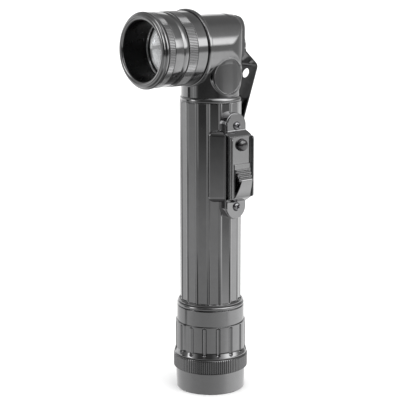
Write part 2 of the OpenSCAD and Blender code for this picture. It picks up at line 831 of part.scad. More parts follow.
module body_tube() {
    rim_foot_z = tube_top_z - tube_rim_h;
    color(plated) difference() {
        union() {
            difference() {
                translate([0, 0, tube_shoulder_z])
                    cylinder(r = tube_r, h = rim_foot_z - tube_shoulder_z);
                tube_panels();
                ring(tube_r + over, tube_r - tube_rim_groove_depth, rim_foot_z - tube_rim_groove_h, over);
            }
            translate([0, 0, rim_foot_z - tube_rim_groove_h])
                cylinder(r = tube_rim_r - tube_rim_groove_depth, h = tube_rim_h);
            translate([0, 0, rim_foot_z])
                rotate_extrude()
                    polygon([[0, 0], [tube_rim_r, 0], [tube_rim_r, tube_rim_h / 2],
                             [tube_rim_r - tube_rim_h / 2, tube_rim_h], [0, tube_rim_h]]);
            translate([0, 0, tube_foot_z])
                cylinder(r = tube_spigot_r, h = tube_shoulder_z - tube_foot_z + over);
            housing_solid();
        }
        translate([0, 0, tube_foot_z - over])
            cylinder(r = tube_bore_r, h = tube_top_z - tube_foot_z + 2 * over);
        thread_grooves(tube_spigot_r, cap_grip_z + cap_grip_h / 2, cap_grip_h / 2 + cap_neck_h / 2);
        translate([0, -cavity_half_w, switch_z - cavity_half_len])
            cube([housing_x + over, 2 * cavity_half_w, 2 * cavity_half_len]);
        translate([0, -cavity_half_w / 2 - run_gap, switch_z])
            cube([notch_x, cavity_half_w + 2 * run_gap, cavity_top_z - switch_z]);
        for (z = [screw_lower_z, screw_upper_z])
            peg(ear_x - screw_len - run_gap, 0, z, screw_r + screw_bore_gap, screw_len + over);
    }
    color(plated) guide_ribs();
}

// Ribs inside the bore that centre the cells
module guide_ribs() {
    intersection() {
        for (k = [0 : guide_rib_count - 1])
            rotate([0, 0, (k + 0.5) * 360 / guide_rib_count])
                translate([guide_rib_r, -guide_rib_w / 2, cell_base_z])
                    cube([tube_bore_r - guide_rib_r + run_gap, guide_rib_w, plug_foot_z - run_gap - cell_base_z]);
        ring(tube_bore_r + run_gap, guide_rib_r, cell_base_z, plug_foot_z - cell_base_z);
    }
}

// Contact strips and the switch's leaf

module contact_strip() {
    color(brass) across_y(strip_half_w) {
        translate([strip_x, strip_foot_z])
            square([strip_t, strip_head_z - strip_foot_z]);
        translate([strip_x, strip_foot_z])
            square([strip_foot_x - strip_x, plate_t]);
    }
}

module lamp_strip() {
    reach = norm([strip_x, head_z - lamp_top_z]);
    touch_r = bulb_barrel_r + seat_gap;
    turn = 180 - atan((head_z - lamp_top_z) / strip_x) - asin(touch_r / reach);
    run = sqrt(reach * reach - touch_r * touch_r) + lamp_tip_len;
    path = [[lamp_low_x, lamp_low_z], [lamp_low_x, lamp_bend_z], [strip_x, lamp_neck_z],
            [strip_x, lamp_top_z], [strip_x + run * cos(turn), lamp_top_z + run * sin(turn)]];
    color(brass) across_y(strip_half_w)
        polygon(strip_outline(path, -strip_t));
}

module switch_leaf() {
    foot_x = strip_x + strip_t + seat_gap + strip_t;
    path = [[foot_x, leaf_foot_z - leaf_lap], [foot_x, leaf_foot_z + leaf_lap],
            [leaf_x, leaf_rise_z], [leaf_x, leaf_top_z]];
    color(brass) across_y(strip_half_w)
        polygon(strip_outline(path, strip_t));
}

// Switch: block, guard, screws, slide and button

module switch_block() {
    foot_z = switch_z - cavity_half_len + run_gap;
    len = 2 * cavity_half_len - 2 * run_gap;
    slot_low_z = shank_low_z - slot_gap;
    slot_len = shank_high_z - shank_low_z + slide_travel + 2 * slot_gap;
    color(moulded_black) difference() {
        union() {
            translate([block_rear_x, -block_tail_half_w, foot_z])
                cube([ear_x - block_rear_x, 2 * block_tail_half_w, len]);
            translate([housing_x + run_gap, -block_half_w, switch_z - guard_face_len / 2])
                cube([block_front_x - housing_x - run_gap, 2 * block_half_w, guard_face_len]);
        }
        translate([block_rear_x - over, -shank_half_w - slot_gap, slot_low_z])
            cube([block_front_x - block_rear_x + 2 * over, 2 * (shank_half_w + slot_gap), slot_len]);
        peg(button_ledge_x, 0, button_z, button_well_r, block_front_x);
        translate([block_rear_x - over, -strip_half_w - run_gap, leaf_foot_z - leaf_lap - run_gap])
            cube([over + leaf_x - block_rear_x + run_gap, 2 * (strip_half_w + run_gap), len]);
        peg(block_rear_x - over, 0, button_z, button_stem_r + run_gap, block_front_x);
    }
}

module guard_profile() {
    half = guard_face_len / 2;
    ear_end = screw_pitch / 2 + ear_half_w;
    path = [[housing_x, -ear_end], [housing_x, -half - step_run], [web_x, -half],
            [web_x, half], [housing_x, half + step_run], [housing_x, ear_end]];
    polygon([for (p = strip_outline(path, -guard_t)) [p.x, p.y + switch_z]]);
}

module guard_face_outline() {
    half = guard_face_len / 2;
    for (s = [-1, 1])
        translate([0, switch_z + s * screw_pitch / 2])
            circle(r = ear_half_w);
    translate([-ear_half_w, switch_z - screw_pitch / 2])
        square([2 * ear_half_w, screw_pitch]);
    translate([-rail_half_gap - guard_t, switch_z - half])
        square([2 * (rail_half_gap + guard_t), guard_face_len]);
}

module guard_rail(side) {
    half = guard_face_len / 2;
    y = side > 0 ? rail_half_gap : -rail_half_gap - guard_t;
    translate([0, y + guard_t, 0])
        rotate([90, 0, 0])
            linear_extrude(guard_t)
                polygon(concat(
                    [[web_x, switch_z - half], [web_x, switch_z + half]],
                    [for (k = [0 : curve_steps / 2]) let (w = 180 * k / curve_steps)
                        [rail_x - rail_round + rail_round * sin(w), switch_z + half - rail_round + rail_round * cos(w)]],
                    [for (k = [curve_steps / 2 : -1 : 0]) let (w = 180 * k / curve_steps)
                        [rail_x - rail_round + rail_round * sin(w), switch_z - half + rail_round - rail_round * cos(w)]]));
}

module switch_guard() {
    slot_low_z = shank_low_z - slot_gap;
    slot_len = shank_high_z - shank_low_z + slide_travel + 2 * slot_gap;
    color(plated) difference() {
        union() {
            intersection() {
                across_y(rail_half_gap + guard_t)
                    guard_profile();
                rotate([90, 0, 90])
                    linear_extrude(rail_x)
                        guard_face_outline();
            }
            guard_rail(1);
            guard_rail(-1);
        }
        translate([web_x - over, -shank_half_w - slot_gap, slot_low_z])
            cube([guard_t + 2 * over, 2 * (shank_half_w + slot_gap), slot_len]);
        peg(web_x - over, 0, button_z, button_hole_r, guard_t + 2 * over);
        for (z = [screw_lower_z, screw_upper_z])
            peg(housing_x - over, 0, z, screw_r + screw_bore_gap, guard_t + 2 * over);
    }
}

// One cross-head screw at height z
module guard_screw(z) {
    difference() {
        union() {
            peg(ear_x - screw_len, 0, z, screw_r, screw_len + screw_head_h / 2);
            translate([ear_x, 0, z])
                rotate([0, 90, 0])
                    rotate_extrude()
                        polygon(concat(
                            [[0, 0], [screw_head_r, 0]],
                            [for (k = [0 : curve_steps]) let (w = 90 * k / curve_steps)
                                [screw_head_r * (1 - head_flat_share) * cos(w) + screw_head_r * head_flat_share * (1 - k / curve_steps),
                                 screw_head_h * head_wall_share + screw_head_h * (1 - head_wall_share) * sin(w)]]));
        }
        for (turn = [0, 90])
            translate([ear_x + screw_head_h - cross_depth, 0, z])
                rotate([turn, 0, 0])
                    translate([0, -cross_w / 2, -cross_len / 2])
                        cube([cross_depth + over, cross_w, cross_len]);
    }
}
module guard_screws() {
    color(bright) {
        guard_screw(screw_lower_z);
        guard_screw(screw_upper_z);
    }
}

// Outer edge of the slide: plate, ridged ramp, crest and smooth back
function slide_edge() =
    let (low = [slide_base_x + slide_t, ramp_top_z], high = [crest_x, crest_z])
    concat(
        [[slide_base_x, slide_top_z], [slide_base_x + slide_t, slide_top_z]],
        [for (k = [0 : ridge_count - 1]) each
            let (a = low + (high - low) * k / ridge_count,
                 b = low + (high - low) * (k + ridge_share) / ridge_count)
            [a, [b.x + ridge_depth, b.y + ridge_depth * ridge_share]]],
        [high, [crest_x, crest_z - slide_t], [slide_base_x + slide_t, slide_foot_z], [slide_base_x, slide_foot_z]]);
module slide_switch() {
    reach = crest_x - slide_base_x;
    inner_low = [slide_base_x, slide_foot_z + slide_t * hollow_share];
    color(plated) {
        difference() {
            intersection() {
                across_y(slide_half_w)
                    polygon(slide_edge());
                translate([0, 0, slide_foot_z])
                    linear_extrude(slide_len)
                        polygon([[slide_base_x, -slide_half_w], [slide_base_x + slide_t, -slide_half_w],
                                 [crest_x + ridge_depth, -crest_half_w], [crest_x + ridge_depth, crest_half_w],
                                 [slide_base_x + slide_t, slide_half_w], [slide_base_x, slide_half_w]]);
            }
            across_y(slide_half_w + over)
                polygon([inner_low, [slide_base_x - over, inner_low.y], [slide_base_x - over, ramp_top_z - slide_t],
                         [slide_base_x, ramp_top_z - slide_t],
                         [crest_x - slide_t, crest_z], [crest_x - slide_t, crest_z - slide_t]]);
        }
        translate([shank_foot_x, -shank_half_w, shank_low_z])
            cube([slide_base_x + reach * shank_share - shank_foot_x, 2 * shank_half_w, shank_high_z - shank_low_z]);
    }
}
module push_button() {
    top_x = guard_face_x + button_out;
    flange_x = web_x - run_gap - button_flange_t;
    color(plated) {
        translate([0, 0, button_z])
            rotate([0, 90, 0])
                rotate_extrude()
                    polygon(concat(
                        [[0, flange_x], [button_flange_r, flange_x],
                         [button_flange_r, flange_x + button_flange_t], [button_r, flange_x + button_flange_t]],
                        [for (k = [0 : curve_steps]) let (w = 90 * k / curve_steps)
                            [button_r * cos(w), top_x - button_dome_h + button_dome_h * sin(w)]]));
        peg(button_stem_foot_x + button_travel, 0, button_z, button_stem_r, flange_x - button_stem_foot_x - button_travel + seat_gap);
    }
}

module button_spring() {
    flange_x = web_x - run_gap - button_flange_t;
    color(bright) translate([button_ledge_x, 0, button_z])
        rotate([0, 90, 0])
            helix(button_spring_r, button_spring_r, flange_x - button_ledge_x, button_spring_turns, button_spring_wire_r);
}

// Elbow

// Arm that ends in a rounded back, for the outside and, smaller, for the hollow
module arm_solid(r, r_back, r_crown, front) {
    top_z = head_z + r;
    on_head()
        cylinder(r = r, h = front);
    intersection() {
        translate([0, r_back + over, 0])
            on_head()
                cylinder(r = r, h = r_back + 2 * over);
        translate([0, 0, head_z - r - over])
            rotate_extrude()
                polygon(concat(
                    [[0, 0], [r_back, 0]],
                    [for (k = [0 : curve_steps]) let (w = 90 * k / curve_steps)
                        [r_back - r_crown + r_crown * cos(w), over + 2 * r - r_crown + r_crown * sin(w)]],
                    [[0, over + top_z - head_z + r]]));
    }
}

// Flat seat for the clip, rounded over into the top
module clip_seat() {
    foot_z = head_z - seat_foot_drop;
    corner_y = seat_y - crown_r;
    corner_z = head_z + arm_r - crown_r;
    intersection() {
        across_x(seat_half_w)
            polygon(concat(
                [[neck_r / 2, foot_z], [back_r - elbow_wall / 2, foot_z], [seat_y, foot_z + elbow_wall]],
                [for (k = [0 : curve_steps]) let (w = 90 * k / curve_steps)
                    [corner_y + crown_r * cos(w), corner_z + crown_r * sin(w)]],
                [[neck_r / 2, corner_z + crown_r]]));
        translate([0, seat_y + over, 0])
            on_head()
                cylinder(r = arm_r, h = seat_y + over);
    }
}

// Round boss on one side, its face following the tube's curve
module side_boss(side) {
    intersection() {
        translate([0, 0, boss_z])
            rotate([0, 90 * side, 0])
                cylinder(r = boss_r, h = boss_face_r + over);
        translate([0, 0, boss_z - boss_r - over])
            cylinder(r = boss_face_r, h = 2 * (boss_r + over));
    }
}

// Shallow dish in the boss's face
module boss_dish(side) {
    dish_r = boss_r - boss_lip_w;
    translate([0, 0, boss_z])
        rotate([0, 90 * side, 0])
            rotate_extrude()
                polygon([[0, boss_dish_x], [dish_r * dish_floor_share, boss_dish_x + boss_dish_rise / 2],
                         [dish_r - boss_edge, boss_dish_x + boss_dish_rise], [dish_r, boss_dish_x + boss_dish_rise + boss_edge],
                         [dish_r + boss_edge, boss_face_r], [dish_r + boss_edge, boss_face_r + over],
                         [0, boss_face_r + over]]);
}
module elbow() {
    color(plated) {
        difference() {
            union() {
                arm_solid(arm_r, back_r, crown_r, flange_u + run_gap);
                clip_seat();
                translate([0, 0, tube_top_z])
                    cylinder(r = neck_r, h = neck_h);
                translate([0, 0, plug_foot_z])
                    cylinder(r = plug_r, h = plug_len + over);
                side_boss(1);
                side_boss(-1);
                on_head() {
                    translate([0, 0, flange_u])
                        rotate_extrude()
                            polygon([[0, 0], [flange_r - seam, 0], [flange_r, seam], [flange_r, flange_t - seam],
                                     [flange_r - seam, flange_t], [0, flange_t]]);
                    difference() {
                        translate([0, 0, flange_u])
                            cylinder(r = head_spigot_r, h = head_spigot_front_u - flange_u);
                        thread_grooves(head_spigot_r, spigot_u + seam, head_spigot_front_u - spigot_u - seam);
                    }
                }
            }
            arm_solid(arm_bore_r, back_bore_r, crown_bore_r, flange_u + over);
            boss_dish(1);
            boss_dish(-1);
            on_head()
                translate([0, 0, ledge_front_u])
                    cylinder(r = arm_bore_r, h = spigot_u - ledge_front_u);
            on_head()
                translate([0, 0, spigot_u - seat_gap])
                    cylinder(r = head_spigot_bore_r, h = head_spigot_front_u);
            translate([0, 0, plug_foot_z - over])
                cylinder(r = plug_bore_r, h = plug_len + neck_h);
            translate([strip_x - slot_wall, -strip_half_w - slot_wall, plug_foot_z - over])
                cube([strip_t + 2 * slot_wall, 2 * (strip_half_w + slot_wall), head_z - plug_foot_z]);
            for (s = [-1, 1])
                translate([s * rivet_y_gap, seat_y + over, rivet_z])
                    rotate([90, 0, 0])
                        cylinder(r = rivet_r + screw_bore_gap, h = rivet_depth + over);
        }
        on_head()
            ring(arm_bore_r + seat_gap, arm_bore_r - ledge_w, ledge_front_u - ledge_t, ledge_t);
    }
}

// Belt clip: a riveted tab and the sprung arm below its bend

// Outer side of the arm, from its upper bend down to its lip
function clip_path() = rounded_path(
    [[seat_y + clip_t, tab_foot_z],
     [seat_y + clip_t, tab_foot_z - clip_lead],
     [clip_elbow_y, head_z - clip_elbow_drop],
     [tube_r + clip_gap + clip_t, head_z - clip_touch_drop],
     [clip_lip_y, head_z - clip_lip_drop]],
    [clip_bend_r, clip_elbow_r, clip_touch_r], clip_steps);

module clip_tab() {
    low_z = tab_foot_z + clip_split;
    high_z = head_z + clip_top_h;
    color(plated) difference() {
        intersection() {
            translate([-clip_half_w, seat_y, low_z])
                cube([2 * clip_half_w, clip_t, high_z - low_z]);
            translate([0, seat_y + clip_t + over, 0])
                rotate([90, 0, 0])
                    linear_extrude(clip_t + 2 * over)
                        union() {
                            translate([-clip_half_w, low_z])
                                square([2 * clip_half_w, high_z - low_z - tab_corner_r]);
                            translate([-clip_half_w + tab_corner_r, low_z])
                                square([2 * (clip_half_w - tab_corner_r), high_z - low_z]);
                            for (s = [-1, 1])
                                translate([s * (clip_half_w - tab_corner_r), high_z - tab_corner_r])
                                    circle(r = tab_corner_r);
                        }
        }
        for (s = [-1, 1])
            translate([s * rivet_y_gap, seat_y + clip_t + over, rivet_z])
                rotate([90, 0, 0])
                    cylinder(r = rivet_r + screw_bore_gap, h = clip_t + 2 * over);
    }
}

module clip_arm() {
    low_z = head_z - clip_lip_drop;
    slope = atan2(clip_elbow_y - tube_r - clip_gap - clip_t, clip_touch_drop - clip_elbow_drop);
    hole_y = clip_elbow_y - (lanyard_drop - clip_elbow_drop) * tan(slope);
    color(plated) difference() {
        intersection() {
            across_x(clip_half_w)
                polygon(strip_outline(clip_path(), -clip_t));
            translate([0, clip_elbow_y + over, 0])
                rotate([90, 0, 0])
                    linear_extrude(clip_elbow_y)
                        union() {
                            translate([-clip_half_w, low_z + clip_corner_r])
                                square([2 * clip_half_w, head_z - low_z]);
                            translate([-clip_half_w + clip_corner_r, low_z - over])
                                square([2 * (clip_half_w - clip_corner_r), head_z - low_z]);
                            for (s = [-1, 1])
                                translate([s * (clip_half_w - clip_corner_r), low_z + clip_corner_r])
                                    circle(r = clip_corner_r);
                        }
        }
        translate([0, hole_y, head_z - lanyard_drop])
            rotate([90 - slope, 0, 0])
                translate([0, 0, -over])
                    cylinder(r = lanyard_r, h = clip_t + 2 * over);
    }
}

module clip_rivets() {
    color(bright) for (s = [-1, 1])
        translate([s * rivet_y_gap, seat_y + clip_t, rivet_z]) {
            rotate([90, 0, 0])
                cylinder(r = rivet_r, h = clip_t + rivet_depth);
            rotate([-90, 0, 0])
                rotate_extrude()
                    polygon(concat([[0, 0]],
                        [for (k = [0 : curve_steps]) let (w = 90 * k / curve_steps)
                            [rivet_head_r * cos(w), rivet_head_h * sin(w)]]));
        }
}

// Bulb, its holder and its contact

module bulb_contact() {
    tip_y = -barrel_rear_u + solder_len + seat_gap;
    foot_y = back_bore_r - loose_gap - strip_t;
    foot_low_z = head_z - contact_foot_drop;
    touch_z = cells_top_z + seat_gap + strip_t;
    path = [[foot_y, head_z + contact_foot_rise], [foot_y, foot_low_z + contact_bend],
            [foot_y - contact_bend, foot_low_z], [tip_y, head_z + contact_tip_rise],
            [tip_y, head_z - contact_tip_drop], [tip_y + contact_lead, touch_z + contact_leg],
            [contact_lead, touch_z], [-cell_button_r * contact_touch_share, touch_z]];
    color(brass) across_x(strip_half_w)
        polygon(strip_outline(path, strip_t));
}

module bulb_holder() {
    color(moulded_black) on_head()
        ring(holder_r, holder_bore_r, holder_rear_u, holder_len);
}

module bulb_base() {
    color(brass) on_head()
        rotate_extrude()
            polygon([[0, barrel_rear_u - solder_len], [solder_r, barrel_rear_u - solder_len],
                     [solder_r, barrel_rear_u - solder_len / 2], [bulb_barrel_r - solder_len / 2, barrel_rear_u],
                     [bulb_barrel_r, barrel_rear_u + solder_len / 2], [bulb_barrel_r, flange_rear_u],
                     [bulb_flange_r, flange_rear_u], [bulb_flange_r, flange_front_u],
                     [bulb_r - run_gap, flange_front_u], [0, flange_front_u]]);
}

module bulb_filament() {
    color(bright) on_head()
        translate([0, 0, flange_front_u]) {
            cylinder(r = filament_bead_r, h = filament_bead_r);
            for (s = [-1, 1])
                translate([s * filament_post_gap, 0, 0])
                    cylinder(r = filament_post_r, h = filament_post_len);
            translate([-filament_post_gap, 0, filament_post_len - filament_post_r])
                rotate([0, 90, 0])
                    cylinder(r = filament_post_r * coil_share, h = 2 * filament_post_gap);
        }
}

module bulb_glass() {
    inner_r = bulb_r - glass_wall;
    neck = bulb_glass_len - bulb_r;
    color("#dfe8ee", 0.4) on_head()
        translate([0, 0, flange_front_u])
            rotate_extrude()
                polygon(concat(
                    [[inner_r, 0], [bulb_r, 0]],
                    [for (k = [0 : curve_steps]) let (w = 90 * k / curve_steps) [bulb_r * cos(w), neck + bulb_r * sin(w)]],
                    [for (k = [curve_steps : -1 : 0]) let (w = 90 * k / curve_steps)
                        [inner_r * cos(w), neck + inner_r * sin(w)]]));
}

// Reflector, lens and seals

function bowl_r(u) = sqrt(4 * focus * (u - apex_u));

module reflector() {
    span = rim_front_u - hole_u;
    color(bright) on_head() {
        rotate_extrude()
            polygon(concat(
                [for (k = [0 : 2 * curve_steps]) let (u = hole_u + span * k / (2 * curve_steps)) [bowl_r(u), u]],
                [[lens_r, rim_front_u], [lens_r, rim_front_u - rim_t], [bowl_r(rim_front_u - rim_t) + reflector_wall, rim_front_u - rim_t]],
                [for (k = [2 * curve_steps - 3 : -1 : 2]) let (u = hole_u + (span - rim_t) * k / (2 * curve_steps))
                    [bowl_r(u) + reflector_wall, u]],
                [[collar_r, hole_u + seat_gap], [collar_r, hole_u - collar_len], [hole_r, hole_u - collar_len]]));
    }
}

module lens() {
    color("#e6eef2", 0.35) on_head()
        translate([0, 0, lens_rear_u])
            cylinder(r = lens_r, h = lens_t);
}

module lens_gasket() {
    color(moulded_black) on_head()
        ring(lens_r, lens_lip_r + run_gap, lens_front_u + seat_gap, lens_gasket_t);
}

// Seal in the seam behind a ring, from its spigot radius outwards
module seam_seal(u, r_in, r_out) {
    color(moulded_black) on_head()
        ring(r_out, r_in, u + seat_gap, seam - 2 * seat_gap);
}

module rear_seal() {
    seam_seal(spigot_u, head_spigot_r + run_gap, lens_ring_r - seam);
}

module middle_seal() {
    seam_seal(lens_ring_front_u, front_thread_r + run_gap, filter_ring_r - seam);
}

module front_seal() {
    seam_seal(filter_ring_front_u, front_spigot_r + run_gap, filter_ring_r - seam);
}

// Head rings

module lens_ring() {
    knurl_u = lens_ring_front_u - lens_knurl_len;
    color(plated) on_head()
        difference() {
            union() {
                translate([0, 0, lens_ring_u])
                    cylinder(r = lens_ring_r, h = knurl_u - lens_ring_u);
                translate([0, 0, knurl_u])
                    linear_extrude(lens_knurl_len)
                        polygon(knurl_outline(lens_ring_r + seat_gap, knurl_depth, knurl_count));
                difference() {
                    translate([0, 0, knurl_u])
                        cylinder(r = front_thread_r, h = lens_ring_front_u - knurl_u + front_thread_len);
                    thread_grooves(front_thread_r, filter_ring_u, front_thread_len - seam);
                }
            }
            translate([0, 0, lens_ring_u - over])
                cylinder(r = head_spigot_r + run_gap, h = lens_lip_u - lens_ring_u + over);
            translate([0, 0, lens_lip_u + lens_lip_t])
                cylinder(r = front_thread_r - front_thread_wall, h = front_thread_len + over);
            translate([0, 0, lens_lip_u - over])
                cylinder(r = lens_lip_r, h = lens_lip_t + 2 * over);
        }
}

module filter_ring() {
    knurl_u = filter_ring_front_u - filter_knurl_len;
    bead_u = filter_ring_u + filter_bead_len;
    stop_u = lens_ring_front_u + front_thread_len + seat_gap;
    color(plated) on_head()
        difference() {
            union() {
                translate([0, 0, filter_ring_u])
                    cylinder(r = filter_ring_r, h = knurl_u - filter_ring_u);
                translate([0, 0, filter_ring_u])
                    rotate_extrude()
                        polygon(concat([[0, 0]],
                            [for (k = [0 : curve_steps]) let (w = 180 * k / curve_steps)
                                [filter_ring_r - run_gap + (bead_h + run_gap) * sin(w), filter_bead_len * k / curve_steps]],
                            [[0, filter_bead_len]]));
                translate([0, 0, knurl_u])
                    linear_extrude(filter_knurl_len)
                        polygon(knurl_outline(filter_ring_r + seat_gap, knurl_depth, knurl_count));
            }
            translate([0, 0, filter_ring_u - over])
                cylinder(r = front_thread_r + seat_gap, h = stop_u - filter_ring_u + over);
            translate([0, 0, stop_u - over])
                cylinder(r = front_thread_r - front_thread_wall, h = over + stop_t + over);
            translate([0, 0, stop_u + stop_t])
                cylinder(r = front_spigot_r + run_gap, h = filter_ring_len);
        }
}

module front_ring() {
    spigot_rear_u = front_ring_u - front_spigot_len;
    lip_mid_r = (mouth_r + front_lip_r) / 2;
    lip_half = (front_lip_r - mouth_r) / 2;
    color(plated) on_head()
        difference() {
            union() {
                rotate_extrude()
                    polygon(concat(
                        [[0, front_ring_u]],
                        [for (k = [0 : curve_steps]) let (w = -90 + 180 * k / curve_steps)
                            [front_bead_r - front_bead_round + front_bead_round * cos(w),
                             front_ring_u + front_bead_round + front_bead_round * sin(w)]],
                        [[front_lip_r, mouth_u - front_round]],
                        [for (k = [0 : curve_steps]) let (w = 180 * k / curve_steps)
                            [lip_mid_r + lip_half * cos(w), mouth_u - front_round + front_round * sin(w)]],
                        [[0, mouth_u - front_round]]));
                difference() {
                    translate([0, 0, spigot_rear_u])
                        cylinder(r = front_spigot_r, h = front_spigot_len + seat_gap);
                    thread_grooves(front_spigot_r, spigot_rear_u + seat_gap, front_spigot_len - seam);
                }
            }
            translate([0, 0, spigot_rear_u - over])
                cylinder(r = front_spigot_r - front_spigot_wall, h = hood_front_u - spigot_rear_u + over);
            translate([0, 0, spigot_rear_u])
                cylinder(r = mouth_r, h = mouth_u);
        }
}
module hood() {
    rear_out_r = hood_rear_r + hood_wall;
    front_out_r = front_spigot_r - front_spigot_wall - seat_gap;
    color(moulded_black) on_head()
        rotate_extrude()
            polygon([[hood_rear_r, hood_rear_u], [rear_out_r, hood_rear_u],
                     [front_out_r, front_ring_u], [front_out_r, hood_front_u - seat_gap],
                     [hood_front_r, hood_front_u - seat_gap]]);
}

base_cover();
base_gasket();
spare_filter_red();
spare_filter_green();
spare_diffuser();
tail_cap();
tail_gasket();
tail_spring();
tail_contact();
battery_lower();
battery_upper();
body_tube();
contact_strip();
lamp_strip();
switch_leaf();
switch_block();
switch_guard();
guard_screws();
slide_switch();
push_button();
button_spring();
elbow();
clip_tab();
clip_arm();
clip_rivets();
bulb_contact();
bulb_holder();
bulb_base();
bulb_filament();
bulb_glass();
reflector();
lens();
lens_gasket();
rear_seal();
lens_ring();
middle_seal();
filter_ring();
front_seal();
front_ring();
hood();
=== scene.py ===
import math

import bmesh
import bpy
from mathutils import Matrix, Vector


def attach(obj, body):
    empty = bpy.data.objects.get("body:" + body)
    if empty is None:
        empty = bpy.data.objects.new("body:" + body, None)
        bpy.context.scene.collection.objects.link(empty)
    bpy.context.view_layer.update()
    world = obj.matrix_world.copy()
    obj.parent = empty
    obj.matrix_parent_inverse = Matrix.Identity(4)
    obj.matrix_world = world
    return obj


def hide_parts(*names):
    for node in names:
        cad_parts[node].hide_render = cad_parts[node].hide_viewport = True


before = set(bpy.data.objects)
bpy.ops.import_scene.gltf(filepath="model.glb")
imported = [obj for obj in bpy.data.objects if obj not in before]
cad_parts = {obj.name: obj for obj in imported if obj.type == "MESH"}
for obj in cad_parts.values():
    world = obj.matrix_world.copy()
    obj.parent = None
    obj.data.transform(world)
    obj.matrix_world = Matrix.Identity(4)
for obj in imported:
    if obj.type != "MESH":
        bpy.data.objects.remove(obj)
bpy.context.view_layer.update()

# Sizes in millimetres, from the foot of the base upwards and from the tube's axis outwards
MM = 0.001
HEAD = 137.7            # height of the head's axis
TUBE_R = 12.15          # the tube over its ribs
GRIP_R = 14.04          # the tail cap over its fluted grip
SCREW_LOW, SCREW_HIGH = 76.5, 108.2
SWITCH = (SCREW_LOW + SCREW_HIGH) / 2
FACE_LOW, FACE_HIGH = SWITCH - 12, SWITCH + 12
GUARD_HALF = 5.6        # half the guard's width
SLIDE_HALF = 3.95       # half the width of the slide's roof at its foot
CLIP_HALF = 5.5         # half the clip's width
BOSS = 126.8            # height of the middle of each round boss
BUTTON = 101.1          # height of the button's middle
SAME = 1e-7             # corners that lie closer than this, in metres, are one

UP = (Vector((0, 0, 1)), (0, 0, 0))
BEAM = (Vector((0, -1, 0)), (math.pi / 2, 0, 0))
SIDE = (Vector((1, 0, 0)), (0, math.pi / 2, 0))


# ---------------------------------------------------------------- workshop

def clear():
    bpy.ops.object.select_all(action="DESELECT")


def choose(piece):
    """Makes a piece the one that the next steps work on."""
    clear()
    bpy.context.view_layer.objects.active = piece
    piece.select_set(True)


def begin(name):
    """Names the new primitive, lays its place into its mesh and opens it for editing."""
    piece = bpy.context.active_object
    piece.name = piece.data.name = name
    bpy.ops.object.transform_apply(location=True, rotation=True, scale=True)
    bpy.ops.object.mode_set(mode="EDIT")
    bpy.ops.mesh.select_mode(type="VERT")
    bpy.ops.mesh.select_all(action="SELECT")
    return piece


def reopen(piece):
    """Opens a closed piece for editing again, with all of it selected."""
    choose(piece)
    bpy.ops.object.mode_set(mode="EDIT")
    bpy.ops.mesh.select_all(action="SELECT")


def close(angle=35):
    """Turns the faces outwards, leaves edit mode and smooths the shallow edges."""
    bpy.ops.mesh.select_all(action="SELECT")
    bpy.ops.mesh.normals_make_consistent(inside=False)
    bpy.ops.object.mode_set(mode="OBJECT")
    bpy.ops.object.shade_smooth_by_angle(angle=math.radians(angle))


def pick(piece, test, kind="VERT"):
    """Selects the corners, edges or faces that pass the test, which is given their places in millimetres."""
    bpy.ops.mesh.select_mode(type=kind)
    bpy.ops.mesh.select_all(action="DESELECT")
    mesh = bmesh.from_edit_mesh(piece.data)
    if kind == "VERT":
        for corner in mesh.verts:
            corner.select_set(test(corner.co / MM))
    elif kind == "EDGE":
        for edge in mesh.edges:
            edge.select_set(test(edge.verts[0].co / MM, edge.verts[1].co / MM))
    else:
        for face in mesh.faces:
            face.select_set(test(face.calc_center_median() / MM, face.normal))
    mesh.select_flush_mode()
    bmesh.update_edit_mesh(piece.data)


def shift(x=0, y=0, z=0):
    bpy.ops.transform.translate(value=(x * MM, y * MM, z * MM))


def pull(x=0, y=0, z=0):
    bpy.ops.mesh.extrude_region_move(TRANSFORM_OT_translate={"value": (x * MM, y * MM, z * MM)})


def resize(x=1, y=1, z=1, about=(0, 0, 0)):
    bpy.ops.transform.resize(value=(x, y, z), center_override=[v * MM for v in about])


def turn_about_side(degrees, about):
    """Turns what is selected round a line that runs across the torch."""
    bpy.ops.transform.rotate(value=math.radians(degrees), orient_axis="X", center_override=[v * MM for v in about])


def round_off(width, parts=8):
    bpy.ops.mesh.bevel(offset=width * MM, segments=parts, affect="EDGES")


def eased(outline, radius=0.15, parts=3, loop=False):
    """Rounds the corners of an outline; a third number at a corner is that corner's own radius.

    A long side gets a point close to each rounding, which keeps its shading flat.
    """
    hold, long_side, most = 0.05, 0.8, 0.48
    count = len(outline)
    smooth = []
    for index, corner in enumerate(outline):
        here = Vector(corner[:2])
        own = corner[2] if len(corner) > 2 else radius
        if (not loop and index in (0, count - 1)) or own == 0:
            smooth.append(tuple(here))
            continue
        before = Vector(outline[index - 1][:2]) - here
        after = Vector(outline[(index + 1) % count][:2]) - here
        cut = min(own, before.length * most, after.length * most)
        first, last = here + before.normalized() * cut, here + after.normalized() * cut
        needed = max(long_side, 2 * cut + 2 * hold)
        if before.length > needed:
            smooth.append(tuple(first + before.normalized() * hold))
        for step in range(parts + 1):
            t = step / parts
            smooth.append(tuple(first * (1 - t) ** 2 + here * 2 * t * (1 - t) + last * t ** 2))
        if after.length > needed:
            smooth.append(tuple(last + after.normalized() * hold))
    if loop:
        smooth.append(smooth[0])
    return smooth


def arc(middle, radii, degrees):
    """Points of an outline on a circle or an ellipse, one at each angle."""
    angles = [math.radians(a) for a in degrees]
    return [(middle[0] + radii[0] * math.cos(a), middle[1] + radii[1] * math.sin(a), 0) for a in angles]


